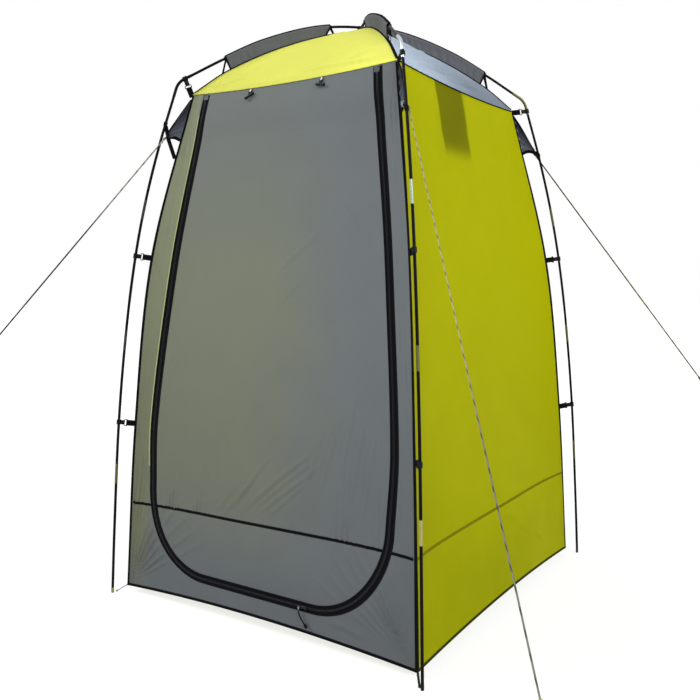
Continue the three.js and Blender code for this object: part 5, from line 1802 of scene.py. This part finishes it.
def foot_tip(corner):
    z = np.array([0.0, 0.0015, 0.004, 0.010, 0.015, 0.0165, 0.018, 0.0185])
    radius = np.array([0.0032, 0.0047, 0.0051, 0.0050, 0.0051, 0.0051, 0.0050, 0.0048])
    foot = tube(at_corner(corner, float(leg_reach(FOOT_TIP_TOP)), 0.0, z), radius, 24)
    piece(f"foot_tip_{corner}", foot, TIP_LOOKS[corner], slot="steel")


def elbow(corner):
    """The bent tube between a leg and its roof rod."""
    bend_from = toward(ELBOW_CORNER, leg_shoulder, ELBOW_BEND)
    bend_to = toward(ELBOW_CORNER, arch_shoulder, ELBOW_BEND)
    t = np.linspace(0, 1, 17)[:, None]
    bend = (1 - t) ** 2 * bend_from + 2 * t * (1 - t) * ELBOW_CORNER + t ** 2 * bend_to
    before, after = between(leg_mouth, bend_from, 12)[:-1], between(bend_to, arch_mouth, 12)[1:]
    line = np.concatenate([before, bend, after])
    run = lengths_along(line)
    rim = np.minimum(run, run[-1] - run)
    radius = metal_radius(rim, ELBOW_RADIUS, 0.0004, 0.0016, 0.0002, 0.010, 0.0013)
    piece(f"elbow_tube_{corner}", tube(upright(corner, line), radius, 24),
          ELBOW_LOOKS[corner], replaced=(f"elbow_{corner}",), slot="steel")


class TENT_OT_rods(bpy.types.Operator):
    """Leg rods with their ferrules and foot tips, the elbows and the two roof rods"""

    bl_idname = "tent.rods"
    bl_label = "Rods and elbows"

    def execute(self, context):
        for corner in CORNER_TURNS:
            leg_rods(corner)
            foot_tip(corner)
            elbow(corner)
        for arch, corner in (("a", "br"), ("b", "fr")):
            reach, high = arch_line(arch, -arch_end[0], arch_end[0], 120)
            rod = tube(at_corner(corner, reach, 0.0, high), ROD_RADIUS, 24)
            piece(f"roof_rod_{arch}_shaft", rod, "rod", replaced=(f"roof_rod_{arch}",),
                  slot="rod_gloss")
        return {"FINISHED"}


# Clips

CLIP_ROOT_DROP = 0.007
STRAP_SHARE, STRAP_WIDTH, STRAP_THICKNESS = 0.46, 0.020, 0.0011
EYE_RADIUS = 0.0030


def clip_place(corner, where):
    """Root on the seam, place on the rod, the rod's direction and radius, for one clip."""
    if where == "top":
        along = arch_shoulder if corner == "fl" else leg_shoulder
        at = toward(ELBOW_CORNER, along, 0.028 if corner == "fl" else 0.040)
        root_z = EAVE_HEIGHT - 0.006
        direction, radius = unit(ELBOW_CORNER - along), ELBOW_RADIUS
    else:
        z = LOW_CLIP if where == "low" else MID_CLIP
        at = np.array([float(leg_reach(z)), z])
        root_z = z - CLIP_ROOT_DROP
        direction, radius = rod_direction(z), ROD_RADIUS
    return np.array([float(ridge_reach(root_z)), root_z]), at, direction, radius


class Clip:
    """One clip in its own measures: along its strap, across it and up, from the root on the seam."""

    def __init__(self, corner, where):
        root, at, direction, self.radius = clip_place(corner, where)
        span = at - root
        self.length = float(np.linalg.norm(span))
        way = span / self.length
        self.way, self.up = upright(corner, way), upright(corner, (-way[1], way[0]))
        self.side = at_corner(corner, 0.0, 1.0, 0.0)
        self.root, self.rod = upright(corner, root), upright(corner, at)
        self.rod_way = upright(corner, direction)
        shut = corner == "br" and where != "top"
        self.strap_end = STRAP_SHARE * self.length
        self.ring_half = 0.0036 if shut else min(0.0066, 0.12 * self.length)
        self.ring_at = self.strap_end + self.ring_half - 0.0013

    def place(self, along, side, up):
        along, side, up = np.broadcast_arrays(*(np.asarray(v, float) for v in (along, side, up)))
        return self.root + along[..., None] * self.way + side[..., None] * self.side + up[..., None] * self.up

    def strap(self):
        """Webbing doubled round the ring, and the tack that sews it to the seam."""
        bar = self.strap_end + 0.0010
        turn = np.linspace(math.pi / 2, -math.pi / 2, 9)
        along = np.concatenate([np.linspace(-0.0025, bar - 0.002, 8), bar + 0.0022 * np.cos(turn),
                                np.linspace(bar - 0.002, -0.0025, 8)])
        side = np.concatenate([np.linspace(0.0007, 0.0021, 8), 0.0022 * np.sin(turn),
                               np.linspace(-0.0021, -0.0007, 8)])
        line = self.place(along, side, 0.0)
        out = np.cross(unit(np.gradient(line, axis=0)), self.up)
        strap = sweep(line, flat_outline(STRAP_WIDTH, STRAP_THICKNESS), out)
        tack = sweep(self.place([0.004, 0.0085], 0.0, 0.0), flat_outline(0.016, 0.0046), self.side)
        return merged([strap, tack])

    def ring(self):
        angle = turn_angles(32)
        squared = 1 - 0.06 * np.cos(4 * angle)
        return tube(self.place(self.ring_at + self.ring_half * np.cos(angle) * squared, 0.0,
                               0.0122 * np.sin(angle) * squared), RING_WIRE, 10, closed=True)

    def round_rod(self, from_turn, to_turn, count, outline):
        """A stretch of the hook bent round the rod, between two shares of a half turn."""
        angle = np.linspace(from_turn * math.pi, to_turn * math.pi, count)[:, None]
        out = unit(np.cross(self.side, self.rod_way))
        reach = self.radius + 0.0017
        line = self.rod + out * np.cos(angle) * reach + self.side * np.sin(angle) * reach
        return sweep(line, outline, self.rod_way)

    def hook(self):
        """Eye round the ring, neck, the jaw round the rod and its gate."""
        eye_at = self.ring_at + self.ring_half
        angle = turn_angles(18)
        eye = self.place(eye_at + 0.0006 + EYE_RADIUS * np.cos(angle), EYE_RADIUS * np.sin(angle), 0.0)
        parts = [sweep(eye, flat_outline(0.0016, 0.0140), self.up, closed=True)]
        neck_from, neck_to = eye_at + EYE_RADIUS, self.length - self.radius - 0.0012
        if neck_to - neck_from > 0.001:
            t = np.linspace(0, 1, 7)
            neck = self.place(neck_from + (neck_to - neck_from) * t, 0.0, 0.0)
            widths = (1.0 - 0.10 * np.sin(math.pi * t))[:, None, None]
            parts.append(sweep(neck, flat_outline(0.0168, 0.0052)[None] * widths, self.side))
        parts.append(self.round_rod(0.5, 2.15, 30, flat_outline(0.0026, 0.0168)))
        parts.append(self.round_rod(2.16, 2.46, 9, flat_outline(0.0018, 0.0100)))
        return merged(parts)


class TENT_OT_clips(bpy.types.Operator):
    """Webbing straps, rings and snap hooks that hang the cabin on the rods"""

    bl_idname = "tent.clips"
    bl_label = "Strap clips"

    def execute(self, context):
        for corner in CORNER_TURNS:
            for where in ("low", "mid", "top"):
                clip = Clip(corner, where)
                piece(f"strap_{where}_{corner}", clip.strap(), "webbing",
                      replaced=(f"clip_{where}_{corner}",), slot="webbing")
                piece(f"strap_ring_{where}_{corner}", clip.ring(), "ring_metal", slot="steel")
                piece(f"snap_hook_{where}_{corner}", clip.hook(), "plastic", slot="black_plastic")
        return {"FINISHED"}


# Small parts

TOGGLE_DROP = 0.027
CROSSING_HEIGHT, TIE_HALF_WIDTH, TIE_HALF_HEIGHT = 2.0555, 0.0075, 0.0115


class TENT_OT_small_parts(bpy.types.Operator):
    """Inner pocket, zip sliders, pull, toggles, and the small ties at the crossing and the feet"""

    bl_idname = "tent.small_parts"
    bl_label = "Pocket, zip pull and toggles"

    def execute(self, context):
        self.pocket()
        self.pull()
        self.toggles()
        self.ties()
        for node in ("zip_slider_left", "zip_slider_right"):
            slider = frame["nodes"][node]
            slider.data.materials.clear()
            slider.data.materials.append(finishes["slider"])
        return {"FINISHED"}

    def pocket(self):
        """A bag of two cloth layers that hangs plumb under the right eave."""
        front, back, top, bottom, meet = -0.200, 0.0, 1.768, 1.534, 0.4215
        u = np.linspace(0, 1, 50)
        down = np.linspace(0, 1, 50)[:, None]
        layers = []
        for sign, middle in ((1, 0.4285), (-1, 0.4160)):
            y = front + (back - front) * u + 0 * down
            z = top - (top - bottom) * down - 0.004 * np.sin(math.pi * u) * (1 - down) * (sign < 0)
            low_down = np.sin(math.pi * np.minimum(1, 0.25 + 0.75 * down))
            belly = np.sin(math.pi * u) ** 0.6 * (0.35 + 0.65 * low_down)
            x = meet + (middle - meet) * belly * (1 - down ** 6) + 0.0008 * np.sin(40 * u + 7 * down) * belly
            layers.append(np.stack([x, y, z], axis=-1))
        grid = np.concatenate([layers[0], layers[1][::-1][1:]])
        run = np.linspace(0, 0.47, grid.shape[0])[:, None] + 0 * u
        bag = piece("pocket_cloth", sheet_body(grid, run, 2 * u + 0 * run - 1), "pocket",
                    replaced=("inner_pocket",), slot="pocket_mesh")

    def pull(self):
        """The wire on the slider, and the cord that hangs from it with its knot."""
        x, y, z = hinge_places["pull_swing"]
        path = spline_through([(x, y, z - 0.004), (x - 0.001, y, z - 0.014), (x + 0.006, y, z - 0.030),
                               (x + 0.020, y, z - 0.046), (x + 0.030, y, z - 0.058)], 28)
        length = float(lengths_along(path)[-1])
        loop = spline_through([(x, y, z + 0.0027), (x, y + 0.0019, z + 0.0019), (x, y + 0.0027, z),
                               (x, y + 0.0022, z - 0.004), (x, y, z - 0.0082), (x, y - 0.0022, z - 0.004),
                               (x, y - 0.0027, z), (x, y - 0.0019, z + 0.0019)], 32, closed=True)
        ahead = unit(path[-1] - path[-2])
        level = np.array([0.0, 1.0, 0.0])
        above = np.cross(level, ahead)
        piece("zip_pull_wire", tube(loop, 0.0012, 8, closed=True), "metal", rides="pull")
        knot_at = [path[-1] - ahead * (0.001 + 0.0030 * k) for k in range(4)]
        knot = wraps_round(knot_at, level, above, 0.0030, 0.0020)
        cord = piece("zip_pull_cord", tube(path, 0.0022, 10), "black_cord", rides="pull",
                     replaced=("zip_pull",), slot="black_plastic")
        end = piece("zip_pull_knot", merged(knot), "black_cord", rides="pull")

    def toggles(self):
        """Bars on cord loops under the visor, for the rolled-up door."""
        for name, tilt in (("left", 0.5), ("right", -0.2)):
            top = np.array(hinge_places[f"toggle_{name}_swing"])
            low_z = top[2] - TOGGLE_DROP - 0.0095
            wall_out = float(wall_half(low_z)) + top[1]
            lean = -math.atan((wall_out + 0.0036 + 0.0022) / TOGGLE_DROP)

            def hang(points):
                points = np.asarray(points, float)
                c, s = math.cos(lean), math.sin(lean)
                y, z = points[..., 1], points[..., 2]
                return top + np.stack([points[..., 0], c * y - s * z, s * y + c * z], axis=-1)

            loop = spline_through([
                (-0.0020, 0, -0.0013), (-0.0040, 0, -TOGGLE_DROP / 2), (-0.0020, 0, -TOGGLE_DROP),
                (0.0020, 0, -TOGGLE_DROP), (0.0040, 0, -TOGGLE_DROP / 2), (0.0020, 0, -0.0013)],
                36, closed=True)
            half_at = np.array([0.006, 0.0150, 0.0165, 0.0187, 0.019])
            half_thick = np.array([0.0041, 0.0045, 0.0042, 0.0034, 0.0020])
            at = np.concatenate([-half_at[::-1], [0], half_at])
            thick = np.concatenate([half_thick[::-1], [0.0033], half_thick])
            bar = np.stack([at * math.cos(tilt), 0 * at, at * math.sin(tilt) - TOGGLE_DROP], axis=-1)
            piece(f"toggle_bar_{name}", tube(hang(bar), thick, 20), "plastic",
                  rides=f"toggle_{name}", replaced=(f"toggle_{name}",), slot="black_plastic")
            piece(f"toggle_loop_{name}", tube(hang(loop), 0.0020, 8, closed=True), "black_cord",
                  rides=f"toggle_{name}")
            tab = between((0, -0.0010, -0.0010), (0.0012, -0.0028, -0.0120), 8)
            piece(f"toggle_tab_{name}", sweep(hang(tab), flat_outline(0.0068, 0.0012), (0, -1, 0)),
                  "pale_tab", rides=f"toggle_{name}")

    def ties(self):
        """The tie at the crossing of the rods, and the cords from the front hem corners to the feet."""
        angle = turn_angles(28)
        wraps = []
        for turn in (0.0, 0.5 * math.pi):
            across = np.array([math.cos(turn), math.sin(turn), 0.0])
            ring = (np.array([0, 0, CROSSING_HEIGHT]) + across * np.cos(angle)[:, None] * TIE_HALF_WIDTH
                    + np.array([0, 0, 1.0]) * np.sin(angle)[:, None] * TIE_HALF_HEIGHT)
            wraps.append(sweep(ring, flat_outline(0.0016, 0.012), np.cross(across, (0, 0, 1)), closed=True))
        foot = CROSSING_HEIGHT - TIE_HALF_HEIGHT
        drop = between((0, 0, foot), (0, 0, foot + 0.0035), 4)
        wraps.append(sweep(drop, flat_outline(0.016, 0.0030), (0, 1, 0)))
        piece("crossing_tie", merged(wraps), "webbing")
        for corner, look, thick in (("fl", "grey_cord", 0.0017), ("fr", "green_cord", 0.0036)):
            hem = at_corner(corner, HEM_HALF * DIAGONAL + 0.002, 0.0, 0.025)
            foot_reach = float(leg_reach(FOOT_TIP_TOP)) - (0.014 if corner == "fl" else 0.011)
            ground = at_corner(corner, foot_reach, -0.005, 0.0040)
            tie = [tube(between(hem, ground, 8), thick, 8)]
            angle = turn_angles(18)
            for turn in (0.0, 0.9):
                ring = ground + (at_corner(corner, np.cos(angle) * 0.0028, np.sin(angle) * 0.0028, 0.0)
                                 + np.array([0, 0, 1.0]) * (np.cos(angle + turn) * 0.0012)[:, None])
                tie.append(tube(ring, 0.0014, 8, closed=True))
            piece(f"foot_tie_{corner}", merged(tie), look)


# Panel and start

OPERATORS = (
    TENT_OT_stage, TENT_OT_guy_lines, TENT_OT_bindings, TENT_OT_front, TENT_OT_side_walls, TENT_OT_roof,
    TENT_OT_sleeves, TENT_OT_gussets, TENT_OT_rods, TENT_OT_clips, TENT_OT_small_parts,
)


class TENT_PT_panel(bpy.types.Panel):
    """Lists the tent's settings and build steps"""

    bl_idname = "TENT_PT_panel"
    bl_label = "Privacy shower tent"
    bl_space_type = "VIEW_3D"
    bl_region_type = "UI"
    bl_category = "Tent"

    def draw(self, context):
        for name, group in SETTINGS:
            box = self.layout.box()
            for key in group.__annotations__:
                box.prop(getattr(context.scene, name), key)
        for operator in OPERATORS:
            self.layout.operator(operator.bl_idname)


def register():
    for name, group in SETTINGS:
        bpy.utils.register_class(group)
        setattr(bpy.types.Scene, name, PointerProperty(type=group))
    for cls in (*OPERATORS, TENT_PT_panel):
        bpy.utils.register_class(cls)


def unregister():
    for cls in (TENT_PT_panel, *reversed(OPERATORS)):
        bpy.utils.unregister_class(cls)
    for name, group in reversed(SETTINGS):
        delattr(bpy.types.Scene, name)
        bpy.utils.unregister_class(group)


def main():
    register()
    for operator in OPERATORS:
        family, name = operator.bl_idname.split(".")
        getattr(getattr(bpy.ops, family), name)()


if __name__ == "__main__":
    main()
